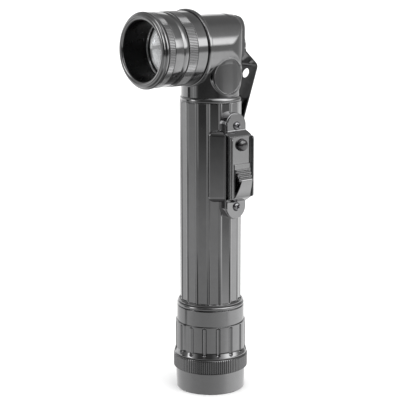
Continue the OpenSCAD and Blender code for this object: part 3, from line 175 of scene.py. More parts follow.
def turned(name, outline, corners=192, way=UP, centre=(0, 0, 0), start=0.0, angle=35):
    """Raises a round piece ring by ring, as on a lathe, from (radius, distance along the way)."""
    forward, turn = way
    centre = Vector(centre)
    along = Vector([abs(v) for v in forward])
    across = Vector((1, 1, 1)) - along
    clear()
    radius, reach = outline[0]
    bpy.ops.mesh.primitive_circle_add(vertices=corners, radius=radius * MM, location=(centre + forward * reach) * MM,
                                      rotation=(turn[0], turn[1], turn[2] + math.radians(start)))
    piece = begin(name)
    for (radius, reach), (next_radius, next_reach) in zip(outline, outline[1:]):
        pull(*(forward * (next_reach - reach)))
        if next_radius != radius:
            grow = next_radius / radius
            bpy.ops.transform.resize(value=across * grow + along,
                                     center_override=(centre + forward * next_reach) * MM)
    bpy.ops.mesh.select_all(action="SELECT")
    if outline[0] == outline[-1]:
        bpy.ops.mesh.remove_doubles(threshold=SAME)
    else:
        bpy.ops.mesh.fill_holes(sides=0)
    close(angle)
    return piece


def press(piece, ratio, test, middle=(0, 0, 0), flat=(1, 1, 0)):
    """Draws the corners that pass the test in towards an axis."""
    pick(piece, test)
    value = [ratio if f else 1 for f in flat]
    bpy.ops.transform.resize(value=value, center_override=Vector(middle) * MM)


def knurl(piece, corners, depths, low, high, radius, way=UP):
    """Cuts fine grooves across a turned ring: its corners, one after another, are pressed in by the depths in turn."""
    skin = 0.04
    forwards = way is BEAM
    middle, flat = ((0, 0, HEAD), (1, 0, 1)) if forwards else ((0, 0, 0), (1, 1, 0))

    def chosen(point, place):
        reach = -point.y if forwards else point.z
        ahead = point.z - HEAD if forwards else point.y
        if not low < reach < high or math.hypot(point.x, ahead) <= radius - skin:
            return False
        return round(math.atan2(point.x, ahead) / (2 * math.pi / corners)) % len(depths) == place

    reopen(piece)
    for place, depth in enumerate(depths):
        if depth:
            press(piece, 1 - depth / radius, lambda p: chosen(p, place), middle, flat)
    close(22)


def with_tool(piece, tool, operation):
    """Cuts, joins or trims a piece with another solid, which is used up."""
    choose(piece)
    step = piece.modifiers.new(operation, "BOOLEAN")
    step.operation = operation
    step.solver = "EXACT"
    step.object = tool
    bpy.context.view_layer.update()
    bpy.ops.object.modifier_apply(modifier=step.name)
    bpy.data.objects.remove(tool, do_unlink=True)


def join(pieces, name):
    clear()
    for piece in pieces:
        piece.select_set(True)
    bpy.context.view_layer.objects.active = pieces[0]
    bpy.ops.object.join()
    whole = bpy.context.active_object
    whole.name = whole.data.name = name
    return whole


def soften(piece, width, parts=3, limit=35, angle=35):
    """Bevels the sharp edges of a piece."""
    choose(piece)
    edge = piece.modifiers.new("edge", "BEVEL")
    edge.width = width * MM
    edge.segments = parts
    edge.limit_method = "ANGLE"
    edge.angle_limit = math.radians(limit)
    bpy.ops.object.modifier_apply(modifier=edge.name)
    bpy.ops.object.shade_smooth_by_angle(angle=math.radians(angle))
    # Broad flat faces keep their own shading beside the narrow rounded ones
    even = piece.modifiers.new("even", "WEIGHTED_NORMAL")
    even.keep_sharp = True
    bpy.ops.object.modifier_apply(modifier=even.name)


def thicken(piece, thickness, offset):
    """Gives a sheet its thickness, on the side that the offset of 1 or -1 says."""
    choose(piece)
    sheet = piece.modifiers.new("sheet", "SOLIDIFY")
    sheet.thickness = thickness * MM
    sheet.offset = offset
    sheet.use_even_offset = True
    bpy.ops.object.modifier_apply(modifier=sheet.name)
    reopen(piece)
    close(40)


def box(name, low, high):
    """A block between two corners, left open for editing."""
    clear()
    low, high = Vector(low), Vector(high)
    bpy.ops.mesh.primitive_cube_add(size=1, location=(low + high) / 2 * MM, scale=(high - low) * MM)
    return begin(name)


def drum(name, middle, radius, length, way, corners=96):
    """A plain round solid centred on a point, used as a tool or trimmed afterwards."""
    clear()
    bpy.ops.mesh.primitive_cylinder_add(vertices=corners, radius=radius * MM, depth=length * MM,
                                        location=Vector(middle) * MM, rotation=way[1])
    piece = begin(name)
    close()
    return piece


def single_point(name, place):
    """One corner, left open, that a line or an outline is pulled from."""
    clear()
    bpy.ops.mesh.primitive_circle_add(vertices=3, radius=0.01 * MM, location=Vector(place) * MM)
    piece = begin(name)
    bpy.ops.mesh.merge(type="CENTER")
    return piece


def drawn(name, outline, way):
    """Draws a closed outline point by point, fills it and pulls it out into a solid."""
    piece = single_point(name, outline[0])
    for here, there in zip(outline, outline[1:]):
        pull(*(Vector(there) - Vector(here)))
    bpy.ops.mesh.select_all(action="SELECT")
    bpy.ops.mesh.remove_doubles(threshold=SAME)
    bpy.ops.mesh.edge_face_add()
    pull(*way)
    close()
    return piece


def stadium(name, radius, foot, rise):
    """A slab with round ends, centred on the two guard screws."""
    half = (SCREW_HIGH - SCREW_LOW) / 2
    clear()
    bpy.ops.mesh.primitive_circle_add(vertices=66, radius=radius * MM, location=Vector((foot, 0, SWITCH)) * MM,
                                      rotation=(math.pi / 2, 0, math.pi / 2))
    slab = begin(name)
    pick(slab, lambda p: p.z > SWITCH + 0.01)
    shift(z=half)
    pick(slab, lambda p: p.z < SWITCH - 0.01)
    shift(z=-half)
    bpy.ops.mesh.select_all(action="SELECT")
    bpy.ops.mesh.edge_face_add()
    pull(x=rise)
    close()
    return slab


def finish_piece(piece, finish, body, slot, *nodes):
    """Gives a piece its finish, unless its parts have their own, its body and the CAD nodes that it stands for."""
    if finish:
        piece.data.materials.clear()
        piece.data.materials.append(finish)
    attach(piece, body)
    if nodes:
        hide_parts(*nodes)
    return piece


# ---------------------------------------------------------------- finishes

def material(name):
    made = bpy.data.materials.new(name)
    made.use_nodes = True
    return made, made.node_tree.nodes, made.node_tree.links


def grain(nodes, links, scale, detail=2.0, stretch=None):
    """Noise in the piece's own place, in lumps per metre."""
    place = nodes.new("ShaderNodeTexCoord")
    source = place.outputs["Object"]
    if stretch:
        mapping = nodes.new("ShaderNodeMapping")
        mapping.inputs["Scale"].default_value = stretch
        links.new(source, mapping.inputs["Vector"])
        source = mapping.outputs["Vector"]
    noise = nodes.new("ShaderNodeTexNoise")
    noise.inputs["Scale"].default_value = scale
    noise.inputs["Detail"].default_value = detail
    links.new(source, noise.inputs["Vector"])
    return noise.outputs["Fac"]


def spread(nodes, links, source, low, high):
    """Turns the middle of the grain's range into values from low to high."""
    ranged = nodes.new("ShaderNodeMapRange")
    ranged.inputs["From Min"].default_value = 0.3
    ranged.inputs["From Max"].default_value = 0.7
    ranged.inputs["To Min"].default_value = low
    ranged.inputs["To Max"].default_value = high
    links.new(source, ranged.inputs["Value"])
    return ranged.outputs["Result"]


def blend_colours(nodes, links, source, first, second):
    shade = nodes.new("ShaderNodeMix")
    shade.data_type = "RGBA"
    shade.inputs["A"].default_value = (*first, 1)
    shade.inputs["B"].default_value = (*second, 1)
    links.new(source, shade.inputs["Factor"])
    return shade.outputs["Result"]


def bump(nodes, links, shader, source, strength, distance, rounding=0.0):
    """Lifts the surface by the grain; a rounding in millimetres softens its creases too."""
    relief = nodes.new("ShaderNodeBump")
    relief.inputs["Strength"].default_value = strength
    relief.inputs["Distance"].default_value = distance * MM
    links.new(source, relief.inputs["Height"])
    if rounding:
        crease = nodes.new("ShaderNodeBevel")
        crease.samples = 6
        crease.inputs["Radius"].default_value = rounding * MM
        links.new(crease.outputs["Normal"], relief.inputs["Normal"])
    links.new(relief.outputs["Normal"], shader.inputs["Normal"])


def plating(name, tone, roughness, ripple, rounding=0.0):
    """Black chrome: dark, glossy, a little cloudy, over the faint ripple of what it covers."""
    made, nodes, links = material(name)
    shader = nodes["Principled BSDF"]
    shader.inputs["Metallic"].default_value = 1.0
    cloud = grain(nodes, links, 380, 3)
    first = tuple(v * tone * 0.94 for v in (1, 1, 1.01))
    second = tuple(v * tone * 1.06 for v in (1, 1, 1.01))
    links.new(blend_colours(nodes, links, cloud, first, second), shader.inputs["Base Color"])
    smudge = grain(nodes, links, 90, 4)
    links.new(spread(nodes, links, smudge, roughness * 0.8, roughness * 1.35), shader.inputs["Roughness"])
    bump(nodes, links, shader, grain(nodes, links, 130, 1), ripple, 0.2, rounding)
    return made


def bare_metal(name, colour, roughness, brushed=(1, 1, 1), depth=0.05):
    """Uncoated metal with fine brush marks, which run along the axis with the smallest number."""
    made, nodes, links = material(name)
    shader = nodes["Principled BSDF"]
    shader.inputs["Metallic"].default_value = 1.0
    streak = grain(nodes, links, 900, 3, brushed)
    first = tuple(v * 0.88 for v in colour)
    links.new(blend_colours(nodes, links, streak, first, colour), shader.inputs["Base Color"])
    links.new(spread(nodes, links, streak, roughness * 0.75, roughness * 1.3), shader.inputs["Roughness"])
    bump(nodes, links, shader, streak, 0.15, depth)
    return made


def moulded(name, colour, roughness, scale, depth):
    """Plain plastic or rubber with a fine moulded grain."""
    made, nodes, links = material(name)
    shader = nodes["Principled BSDF"]
    pores = grain(nodes, links, scale, 4)
    links.new(blend_colours(nodes, links, pores, tuple(v * 0.8 for v in colour), colour), shader.inputs["Base Color"])
    links.new(spread(nodes, links, pores, roughness * 0.85, min(1, roughness * 1.15)), shader.inputs["Roughness"])
    bump(nodes, links, shader, pores, 0.25, depth)
    return made


def clear_stock(name, colour, roughness, ior=1.5):
    """Glass or clear plastic, tinted all through."""
    made, nodes, links = material(name)
    shader = nodes["Principled BSDF"]
    shader.inputs["Transmission Weight"].default_value = 1.0
    shader.inputs["IOR"].default_value = ior
    haze = grain(nodes, links, 200, 3)
    links.new(blend_colours(nodes, links, haze, tuple(v * 0.97 for v in colour), colour), shader.inputs["Base Color"])
    links.new(spread(nodes, links, haze, roughness * 0.6, roughness * 1.4), shader.inputs["Roughness"])
    return made


def cell_jacket():
    """Plain dark sleeve of a cell, half metallic."""
    made, nodes, links = material("cell_jacket")
    shader = nodes["Principled BSDF"]
    shader.inputs["Roughness"].default_value = 0.3
    shader.inputs["Metallic"].default_value = 0.6
    fine = grain(nodes, links, 1500, 2)
    first, second = (0.03, 0.035, 0.05), (0.05, 0.055, 0.07)
    links.new(blend_colours(nodes, links, fine, first, second), shader.inputs["Base Color"])
    bump(nodes, links, shader, fine, 0.1, 0.02)
    return made


shell_plating = plating("shell_plating", 0.30, 0.10, 0.03)
elbow_plating = plating("elbow_plating", 0.30, 0.10, 0.03, 0.3)
arm_plating = plating("arm_plating", 0.30, 0.10, 0.03, 1.4)
sheet_plating = plating("sheet_plating", 0.34, 0.12, 0.05, 0.12)
switch_plating = plating("switch_plating", 0.33, 0.10, 0.03, 0.1)
# Painted shade: the clip's arm gets a darker copy of the sheet plating, for the shade it lies in beside the tube
clip_plating_painted_shade = plating("clip_plating_painted_shade", 0.13, 0.14, 0.04, 0.12)
button_plating = plating("button_plating", 0.13, 0.12, 0.03)
screw_steel = bare_metal("screw_steel", (0.30, 0.30, 0.31), 0.16)
spring_steel = bare_metal("spring_steel", (0.62, 0.62, 0.63), 0.22)
contact_brass = bare_metal("contact_brass", (0.70, 0.52, 0.22), 0.25, (1, 1, 0.08))

# Painted light: the bowl glows faintly, standing in for the light that comes in through the mouth
mirror_bowl_painted_glow = bare_metal("mirror_bowl_painted_glow", (0.92, 0.92, 0.93), 0.12, depth=0.004)
bowl_shader = mirror_bowl_painted_glow.node_tree.nodes["Principled BSDF"]
bowl_shader.inputs["Emission Color"].default_value = (1, 1, 1, 1)
bowl_shader.inputs["Emission Strength"].default_value = 0.2

hood_black = moulded("hood_black", (0.003, 0.003, 0.0033), 0.3, 700, 0.01)
hood_black.node_tree.nodes["Principled BSDF"].inputs["Specular IOR Level"].default_value = 0.15
seal_rubber = moulded("seal_rubber", (0.015, 0.015, 0.015), 0.7, 1500, 0.05)
black_plastic = moulded("black_plastic", (0.02, 0.02, 0.021), 0.45, 1200, 0.03)
lens_clear = clear_stock("lens_clear", (0.97, 0.98, 0.98), 0.02, ior=1.49)
bulb_clear = clear_stock("bulb_clear", (0.98, 0.99, 0.99), 0.01)
filter_red = clear_stock("filter_red", (0.55, 0.01, 0.015), 0.08)
filter_green = clear_stock("filter_green", (0.02, 0.32, 0.06), 0.08)
filter_milk = moulded("filter_milk", (0.82, 0.82, 0.80), 0.35, 900, 0.02)
cell_sleeve = cell_jacket()


# ---------------------------------------------------------------- base and tail cap

def base_cover():
    """Smooth foot, knurled ring and the wall that screws onto the tail cap."""
    corners, ring_r = 540, 14.92
    outline = eased([
        (12.5, 0, 0), (13.75, 0, 1.3), (13.95, 8.6, 0.1), (14.3, 8.6, 0.08), (ring_r, 9.05, 0.08), (ring_r, 14.0, 0.08),
        (14.6, 14.6, 0.25), (12.47, 14.6, 0.15), (12.47, 9.4, 0.1), (11.9, 9.4, 0.1), (11.9, 1.8, 0)], parts=4)
    cover = turned("base_cover_shell", outline, corners)
    knurl(cover, corners, (0, 0, 0.25, 0.5, 0.25), 9.0, 14.1, ring_r)
    return cover


def tail_cap():
    """Fluted grip; each flute is a round-ended slot with its floor a little below the grip."""
    corners, flutes, start = 384, 16, -5.8
    flare_r, flare_z, flare_out, flare_h = 14.7, 15.15, 0.66, 2.05
    flute_low, flute_high, flute_r, flute_depth = 16.5, 26.75, 0.85, 0.75
    rows = [15.55, 15.75, 15.95, 16.15, 16.4, 16.8, 17.2, 17.6, 19.5, 22, 24.5,
            26.2, 26.5, 26.75, 26.95, 27.15, 27.35, 27.55]

    def surface(z):
        """Radius of the grip, which flares out at its foot."""
        return max(GRIP_R, flare_r - (z - flare_z) * flare_out / flare_h)

    # Skirt inside the base, flare and grip
    outline = [(10.87, 14.8, 0), (10.87, 10.4), (12.37, 10.4), (12.37, 14.8), (14.62, 14.8, 0.12),
               (flare_r, flare_z, 0.12)]
    outline += [(surface(z), z, 0) for z in rows]
    # Neck, bead and lip, and the bore
    outline += [(GRIP_R, 28.0, 0.03), (13.5, 28.05, 0.03), (13.45, 34.2, 0.08), (12.95, 34.35, 0.08),
                (12.95, 34.5, 0.05)]
    outline += arc((12.95, 35.2), (0.5, 0.75), range(-75, 76, 15))
    outline += [(12.5, 36.0, 0.05), (12.55, 36.08, 0.05), (13.0, 36.15, 0.15), (13.0, 36.8, 0.4), (12.35, 36.8, 0.1),
                (12.35, 34.1), (11.75, 34.1), (11.75, 16.6, 0)]
    cap = turned("tail_cap_shell", eased(outline, 0.1), corners, start=start)
    reopen(cap)
    step = math.radians(360 / corners)
    run = corners // flutes

    def column(point):
        """How many corners away from the middle of the nearest flute."""
        index = round((math.atan2(point.x, point.y) + math.radians(start)) / step) % run
        return min(index, run - index)

    for level in rows:
        for offset in range(4):
            beyond = max(0, level - flute_high, flute_low - level)
            away = math.hypot(offset * step * GRIP_R, beyond) / flute_r
            if away >= 1:
                continue
            floor_r = GRIP_R - flute_depth * math.sqrt(1 - away ** 2)
            press(cap, floor_r / surface(level),
                  lambda p: abs(p.z - level) < 0.03 and math.hypot(p.x, p.y) > 13.7 and column(p) == offset)
    close(30)
    return cap


# ---------------------------------------------------------------- tube and switch housing

def body_tube():
    corners, ribs = 480, 16
    bore, foot, top = 9.9, 19.3, 118.7
    outline = [(11.65, foot), (11.65, 35.1), (TUBE_R, 35.1)]
    outline += [(TUBE_R, z, 0) for z in (36.6, 36.9, 60, 90, 116.3, 116.65)]
    # A groove, then the rounded lip
    outline += [(TUBE_R, 116.85, 0.05), (11.95, 116.95, 0.04), (11.95, 117.1, 0.04), (12.13, 117.2, 0.04)]
    outline += arc((11.5, 117.25), (0.65, 1.45), range(6, 91, 7))
    outline += [(bore, top), (bore, foot)]
    tube = turned("tube_shell", eased(outline, loop=True), corners)
    reopen(tube)
    step = 360 / corners
    run = corners // ribs

    def column(point):
        """How many corners away from the middle of the nearest panel or rib."""
        index = round(math.atan2(point.x, point.y) / math.radians(step)) % run
        return min(index, run - index)

    # Sixteen flat panels between ribs with rounded crests
    on_panel = lambda p: 36.7 < p.z < 116.5 and math.hypot(p.x, p.y) > TUBE_R - 0.01
    crest = [TUBE_R, 12.135, 12.09, 12.01, 11.93]
    panel, half_turn = 11.78, 180 / ribs
    for place in range(run // 2, 0, -1):
        flat = place >= len(crest)
        radius = panel / math.cos(math.radians(half_turn - step * place)) if flat else crest[place]
        press(tube, radius / TUBE_R, lambda p: on_panel(p) and column(p) == place)
    close(30)
    return tube


def switch_housing():
    """Round ends under the guard's ears, and the pad between them."""
    base = stadium("switch_housing_ends", 5, 10.4, 4.2)
    soften(base, 0.3, 4, 50)

    # A low wall, a slope on each side and the seat under the guard
    wall, slope, seat, half_run = 8.6, 5.2, 3.8, 14.1
    pad = box("switch_housing_pad", (8.0, -wall, SWITCH - half_run), (9.5, wall, SWITCH + half_run))
    for rise, ratio in ((4.5, slope / wall), (0.5, seat / slope)):
        pick(pad, lambda c, n: n.x > 0.9, "FACE")
        pull(x=rise)
        resize(y=ratio, z=0.985, about=(0, 0, SWITCH))
    pick(pad, lambda a, b: abs(a.z - b.z) < 0.6 and abs(a.y - b.y) < 4 and abs(a.x - b.x) > 0.4, "EDGE")
    round_off(2.2)
    close()
    soften(pad, 0.4, 4, 18)
    return base, pad


# ---------------------------------------------------------------- switch guard, screws, slide and button

def guard_channel():
    """The raised face of the guard with a rail folded up along each side."""
    rail, face, under, inside = 19.3, 18.1, 17.5, 5.0
    section = eased([
        (rail, -GUARD_HALF, 0.12), (under, -GUARD_HALF, 0.9), (under, GUARD_HALF, 0.9), (rail, GUARD_HALF, 0.12),
        (rail, inside, 0.12), (face, inside, 0.35), (face, -inside, 0.35), (rail, -inside, 0.12)], parts=5, loop=True)
    channel = drawn("guard_face", [(x, y, FACE_LOW) for x, y in section], (0, 0, FACE_HIGH - FACE_LOW))
    ends = box("guard_ends", (10, -7, FACE_LOW), (19.31, 7, FACE_HIGH))
    pick(ends, lambda a, b: a.x > 19 and b.x > 19 and abs(a.y - b.y) > 5, "EDGE")
    round_off(1.4)
    close()
    with_tool(channel, ends, "INTERSECT")
    return channel


def guard_ears():
    """The strip that steps down from under the face to a round ear round each screw."""
    half_run = (SCREW_HIGH - SCREW_LOW) / 2 + 4.4
    upper = eased([(15.4, half_run, 0), (15.4, 13.9, 0.5), (17.7, 12.15, 0.3), (17.7, 0, 0)], parts=5)[:-1]
    lower = eased([(17.2, 0, 0), (17.2, 11.8, 0.4), (14.62, 13.4, 0.5), (14.62, half_run, 0)], parts=5)[1:]
    # Down the outside from one ear to the other, and back up along the inside
    section = [(x, SWITCH + z) for x, z in upper] + [(x, SWITCH - z) for x, z in reversed(upper)]
    section += [(x, SWITCH - z) for x, z in reversed(lower)] + [(x, SWITCH + z) for x, z in lower]
    section.append(section[0])
    strip = drawn("guard_ears", [(x, -GUARD_HALF, z) for x, z in section], (0, 2 * GUARD_HALF, 0))
    outline = stadium("ear_outline", 4.7, 12, 8)
    shoulders = box("shoulder_outline", (12, -5.55, SWITCH - 14.2), (20, 5.55, SWITCH + 14.2))
    pick(shoulders, lambda a, b: abs(a.x - b.x) > 1, "EDGE")
    round_off(1.8)
    close()
    with_tool(outline, shoulders, "UNION")
    with_tool(strip, outline, "INTERSECT")
    return strip


def guard():
    parts = []
    for part in (guard_channel(), guard_ears()):
        with_tool(part, drum("button_hole", (17.8, 0, BUTTON), 2.45, 4, SIDE, 64), "DIFFERENCE")
        slot = box("slide_slot", (15.5, -1.3, 84.7), (19, 1.3, 92.8))
        close()
        with_tool(part, slot, "DIFFERENCE")
        soften(part, 0.1, 2, 38, 40)
        parts.append(part)
    return join(parts, "switch_guard_sheet")


def cross_screw(name):
    """One pan-head screw with a cross recess, at the lower ear."""
    outline = [(1.0, 11.8, 0), (1.0, 15.2, 0), (1.72, 15.2, 0.05), (1.75, 15.45, 0.1), (1.62, 15.85, 0.2),
               (1.3, 16.12, 0.2), (0.8, 16.27, 0.2), (0.25, 16.3, 0)]
    middle = (0, 0, SCREW_LOW)
    screw = turned(name, eased(outline), 64, SIDE, middle)
    half_width, half_length = 0.36, 1.25
    for turn in (0, 90):
        slot = box("recess", (15.5, -half_width, SCREW_LOW - half_length), (17.0, half_width, SCREW_LOW + half_length))
        # The slot narrows towards its floor
        pick(slot, lambda p: p.x < 16)
        resize(y=0.6, z=0.55, about=middle)
        bpy.ops.mesh.select_all(action="SELECT")
        turn_about_side(turn + 28, middle)
        close()
        with_tool(screw, slot, "DIFFERENCE")
    soften(screw, 0.05, 2, 40)
    return screw


def screw_pair():
    """The lower screw, and a copy at the upper ear that was left at another angle."""
    lower = cross_screw("guard_screw_lower")
    choose(lower)
    bpy.ops.object.duplicate()
    upper = bpy.context.active_object
    upper.name = upper.data.name = "guard_screw_upper"
    reopen(upper)
    shift(z=SCREW_HIGH - SCREW_LOW)
    turn_about_side(33, (0, 0, SCREW_HIGH))
    bpy.ops.object.mode_set(mode="OBJECT")
    return join([lower, upper], "guard_screw_pair")


def slide_switch():
    """Ridged thumb slide: a plate with a hollow roof pressed up from it."""
    foot, top = 80.5, 93.8
    plate = box("slide_plate", (18.15, -4.0, foot), (18.72, 4.0, top))
    close()
    soften(plate, 0.12, 3)

    # The roof's outline: the smooth slope up from the foot to the crest, then four ridges back down to the plate
    slope = [(18.62, 0.1), (19.1, 0.8), (20.0, 2.6), (20.8, 4.6), (21.25, 6.1), (21.45, 6.7), (21.5, 7.0)]
    outline = [(x, foot + rise) for x, rise in slope]
    crest, end = Vector((21.4, 87.6)), Vector((18.75, 92.5))
    across = (crest - end).normalized()
    out = Vector((abs(across.y), abs(across.x)))
    ridges = 4
    for ridge in range(ridges):
        base = crest + (end - crest) * (ridge / ridges)
        run = crest + (end - crest) * ((ridge + 1) / ridges) - base
        for share, lift in ((0.08, 0.18), (0.38, 0.2), (0.56, -0.38), (0.9, -0.38)):
            outline.append(tuple(base + run * share + out * lift))
    outline.append((18.62, 92.9))

    # The roof is pulled across, then along its outline, and narrows as it rises
    columns = 12
    roof = single_point("slide_roof", (outline[0][0], -SLIDE_HALF, outline[0][1]))
    for _ in range(columns):
        pull(y=2 * SLIDE_HALF / columns)
    bpy.ops.mesh.select_all(action="SELECT")
    half = SLIDE_HALF
    for (x, z), (next_x, next_z) in zip(outline, outline[1:]):
        pull(x=next_x - x, z=next_z - z)
        width = SLIDE_HALF - 1.15 * max(0, min(1, (next_x - 18.6) / 2.8))
        resize(y=width / half, about=(next_x, 0, next_z))
        half = width
    close(40)
    thicken(roof, 0.7, -1)
    soften(roof, 0.2, 3, 40, 40)
    shank = box("slide_shank", (13.2, -1.2, 84.9), (20.2, 1.2, 88.5))
    close()
    return join([plate, roof, shank], "slide_switch_cap")


def push_button():
    """Stem, a round well that takes the spring, the flange and the dome."""
    outline = [(1.0, 14.0, 0), (1.0, 16.9, 0), (1.3, 16.9, 0), (1.3, 18.3, 0), (2.16, 18.3, 0), (2.16, 16.9, 0)]
    outline += [(2.6, 16.9, 0.1), (2.6, 17.4, 0.1), (2.25, 17.4, 0), (2.25, 19.1, 0)]
    outline += arc((0, 19.1), (2.25, 0.88), range(10, 90, 8))
    return turned("push_button_cap", eased(outline), 96, SIDE, (0, 0, BUTTON), angle=50)


# ---------------------------------------------------------------- elbow

def elbow_arm():
    """The barrel that carries the head, trimmed behind by a wall that follows the tube and rounds over at the top."""
    rows = [(12.4, -14 + 0.5 * k) for k in range(51)]
    arm = turned("elbow_arm", [(12.4, -20)] + rows + [(12.4, 11.4)], 256, BEAM, (0, 0, HEAD))
    back_r, top = 12.35, 150.2
    outline = [(back_r, 119.5)] + [(back_r, 120.1 + 0.6 * k) for k in range(41)]
    outline += arc((6.35, 144.2), (6, 6), range(6, 85, 6)) + [(6.35, top), (0.5, top)]
    back = turned("elbow_back", eased(outline, 0), 256)
    reopen(back)
    pick(back, lambda p: p.y < -0.05)
    shift(y=-13)
    close()
    with_tool(arm, back, "INTERSECT")
    return arm


def clip_seat():
    """The raised flat behind, which the clip is riveted to."""
    face, low, high = 13.1, 132.7, 150.1
    seat = box("clip_seat", (-CLIP_HALF, 6, low), (CLIP_HALF, face, high))
    pick(seat, lambda a, b: a.y > 13 and b.y > 13 and a.z > 150 and b.z > 150, "EDGE")
    round_off(6, 16)
    pick(seat, lambda a, b: a.y > 13 and b.y > 13 and a.z < 133 and b.z < 133, "EDGE")
    round_off(1.4, 3)
    close()
    with_tool(seat, drum("seat_trim", (0, 10, HEAD), 12.39, 30, BEAM, 256), "INTERSECT")
    return seat


def elbow_flange():
    """The collar that the lens ring meets, and the spigot with its thread grooves."""
    spigot = 12.55
    outline = [(11.0, 11.3), (14.9, 11.3, 0.4), (14.9, 12.9, 0.4), (spigot, 12.9, 0.05)]
    for groove in range(5):
        foot = 13.9 + 1.5 * groove
        outline += [(spigot, foot, 0), (12.25, foot + 0.55, 0.1), (12.25, foot + 0.75, 0.1), (spigot, foot + 1.3, 0)]
    outline += [(spigot, 21.9, 0.2), (11.3, 21.9), (11.3, 12.9), (11.0, 12.9)]
    return turned("elbow_flange", eased(outline, 0.12, 4, loop=True), 256, BEAM, (0, 0, HEAD))


def elbow():
    arm = elbow_arm()
    neck = turned("elbow_neck", eased([(10.2, 118.2, 0), (11.5, 118.2, 0), (11.5, 137.5, 0), (9.0, 137.5, 0)]), 256)
    seat = clip_seat()

    def dish(side, deeper=0.0):
        """The shallow hollow of a boss, with a nearly flat floor; what lies under it is cut a little deeper."""
        cutter = drum("side_dish", (side * 13.4, 0, BOSS), 6.75, 8, SIDE, 128)
        floor_r = 30
        rest = drum("dish_floor", (side * (11.0 - deeper - floor_r), 0, BOSS), floor_r, 20, UP, 512)
        with_tool(cutter, rest, "DIFFERENCE")
        return cutter

    bosses = []
    crown_r = 16
    for side in (1, -1):
        boss = drum("side_boss", (side * 9, 0, BOSS), 7.5, 9, SIDE, 128)
        with_tool(boss, drum("boss_curve", (side * (11.8 - crown_r), 0, BOSS), crown_r, 20, UP, 384), "INTERSECT")
        with_tool(boss, dish(side), "DIFFERENCE")
        with_tool(neck, dish(side, 0.15), "DIFFERENCE")
        with_tool(arm, dish(side, 0.15), "DIFFERENCE")
        soften(boss, 0.12, 3, 50, 30)
        bosses.append(boss)

    flange = elbow_flange()
    for piece in (arm, neck, seat):
        choose(piece)
        bpy.ops.object.shade_smooth_by_angle(angle=math.radians(30))
    for piece in (arm, neck, seat, flange, *bosses):
        piece.data.materials.clear()
        piece.data.materials.append(arm_plating if piece is arm else elbow_plating)
    return join([arm, neck, seat, flange] + bosses, "elbow_shell")


# ---------------------------------------------------------------- head

RING_CORNERS = 576
FINE_KNURL = (0, 0.02, 0.15, 0.02)


def on_head(name, outline, corners, **choices):
    """A turned piece round the head's axis; its outline is measured forwards from the tube's axis."""
    return turned(name, outline, corners, BEAM, (0, 0, HEAD), **choices)


def lens_ring():
    band_r = 14.3
    outline = eased([
        (12.65, 13.04), (14.1, 13.04, 0.2), (14.25, 13.4, 0.2), (14.25, 17.95, 0.15), (14.1, 18.05, 0.04),
        (band_r, 18.25, 0.04), (band_r, 22.15, 0.04), (14.05, 22.35, 0.1), (12.5, 22.35), (12.5, 27.0, 0.2),
        (11.8, 27.0), (11.8, 23.0), (10.85, 23.0, 0.2), (10.85, 22.0, 0.2), (12.65, 22.0)], 0.1, 4, loop=True)
    ring = on_head("lens_ring_shell", outline, RING_CORNERS)
    knurl(ring, RING_CORNERS, FINE_KNURL, 18.2, 22.2, band_r, BEAM)
    return ring


def filter_ring():
    band_r = 14.2
    bead = [(14.1 + 0.2 * math.sin(math.radians(a)), 22.7 + 2.3 * a / 180, 0) for a in range(0, 181, 15)]
    outline = eased([(12.55, 22.7)] + bead + [
        (14.15, 25.2, 0), (14.15, 28.75, 0.15), (14.02, 28.85, 0.04), (band_r, 29.05, 0.04), (band_r, 31.4, 0.04),
        (13.95, 31.6, 0.1), (12.8, 31.6), (12.8, 27.8), (12.55, 27.8)], 0.1, 4, loop=True)
    ring = on_head("filter_ring_shell", outline, RING_CORNERS)
    knurl(ring, RING_CORNERS, FINE_KNURL, 29.0, 31.45, band_r, BEAM)
    return ring


def front_ring():
    """Outer bead, a fine step and the inner lip."""
    outline = [(11.7, 28.55), (12.7, 28.55), (12.7, 31.95, 0.05)]
    outline += arc((13.75, 32.7), (0.75, 0.75), range(-90, 61, 15))
    outline += [(13.75, 33.5, 0.15)]
    outline += arc((12.65, 33.65), (1.1, 0.7), range(10, 171, 16))
    outline += [(11.55, 33.3, 0.1), (11.7, 32.0, 0.1)]
    return on_head("front_ring_shell", eased(outline, 0.1, 4, loop=True), 256)


def hood():
    outline = [(10.9, 23.2), (11.25, 23.2), (11.65, 31.95), (11.65, 33.55), (11.35, 33.55)]
    return on_head("hood_cone", eased(outline, 0.1, 3, loop=True), 192)


def reflector():
    """A thin bowl, parabolic in section, with a rim in front and a socket behind."""
    focus, apex, wall, steps = 2.504, 9.05, 0.6, 24

    def bowl_r(reach):
        return math.sqrt(4 * focus * (reach - apex))

    # The points lie closer together near the bulb, where the bowl curves most
    bowl = [(bowl_r(u), u, 0) for u in [10.65 + 9.2 * (k / steps) ** 1.3 for k in range(steps + 1)]]
    shell = [(bowl_r(u) + wall, u, 0) for u in [19.0, 17, 15, 13, 11.6]]
    rim = [(10.4, 19.88, 0), (11.2, 19.85, 0), (11.2, 19.05)]
    outline = bowl + rim + shell + [(5.2, 10.6), (5.2, 8.35), (4.0, 8.35)]
    return on_head("reflector_bowl", eased(outline, 0.05, 3, loop=True), 192, angle=25)


def bulb_glass():
    outside, inside, foot, length = 3.6, 3.2, 8.3, 9.5
    neck = foot + length - outside
    outline = [(inside, foot), (outside, foot)] + arc((0, neck), (outside, outside), range(0, 88, 6))
    outline += [(0.05, neck + outside, 0), (0.05, neck + inside, 0)]
    outline += arc((0, neck), (inside, inside), range(86, -1, -6))
    return on_head("bulb_envelope", eased(outline, 0.05, 2, loop=True), 96, angle=50)


def lens():
    outline = eased([(0.4, 19.9, 0), (11.2, 19.9, 0.15), (11.2, 21.4, 0.15), (0.4, 21.4, 0)], parts=3)
    return on_head("lens_disc", outline, 192)


# ---------------------------------------------------------------- belt clip

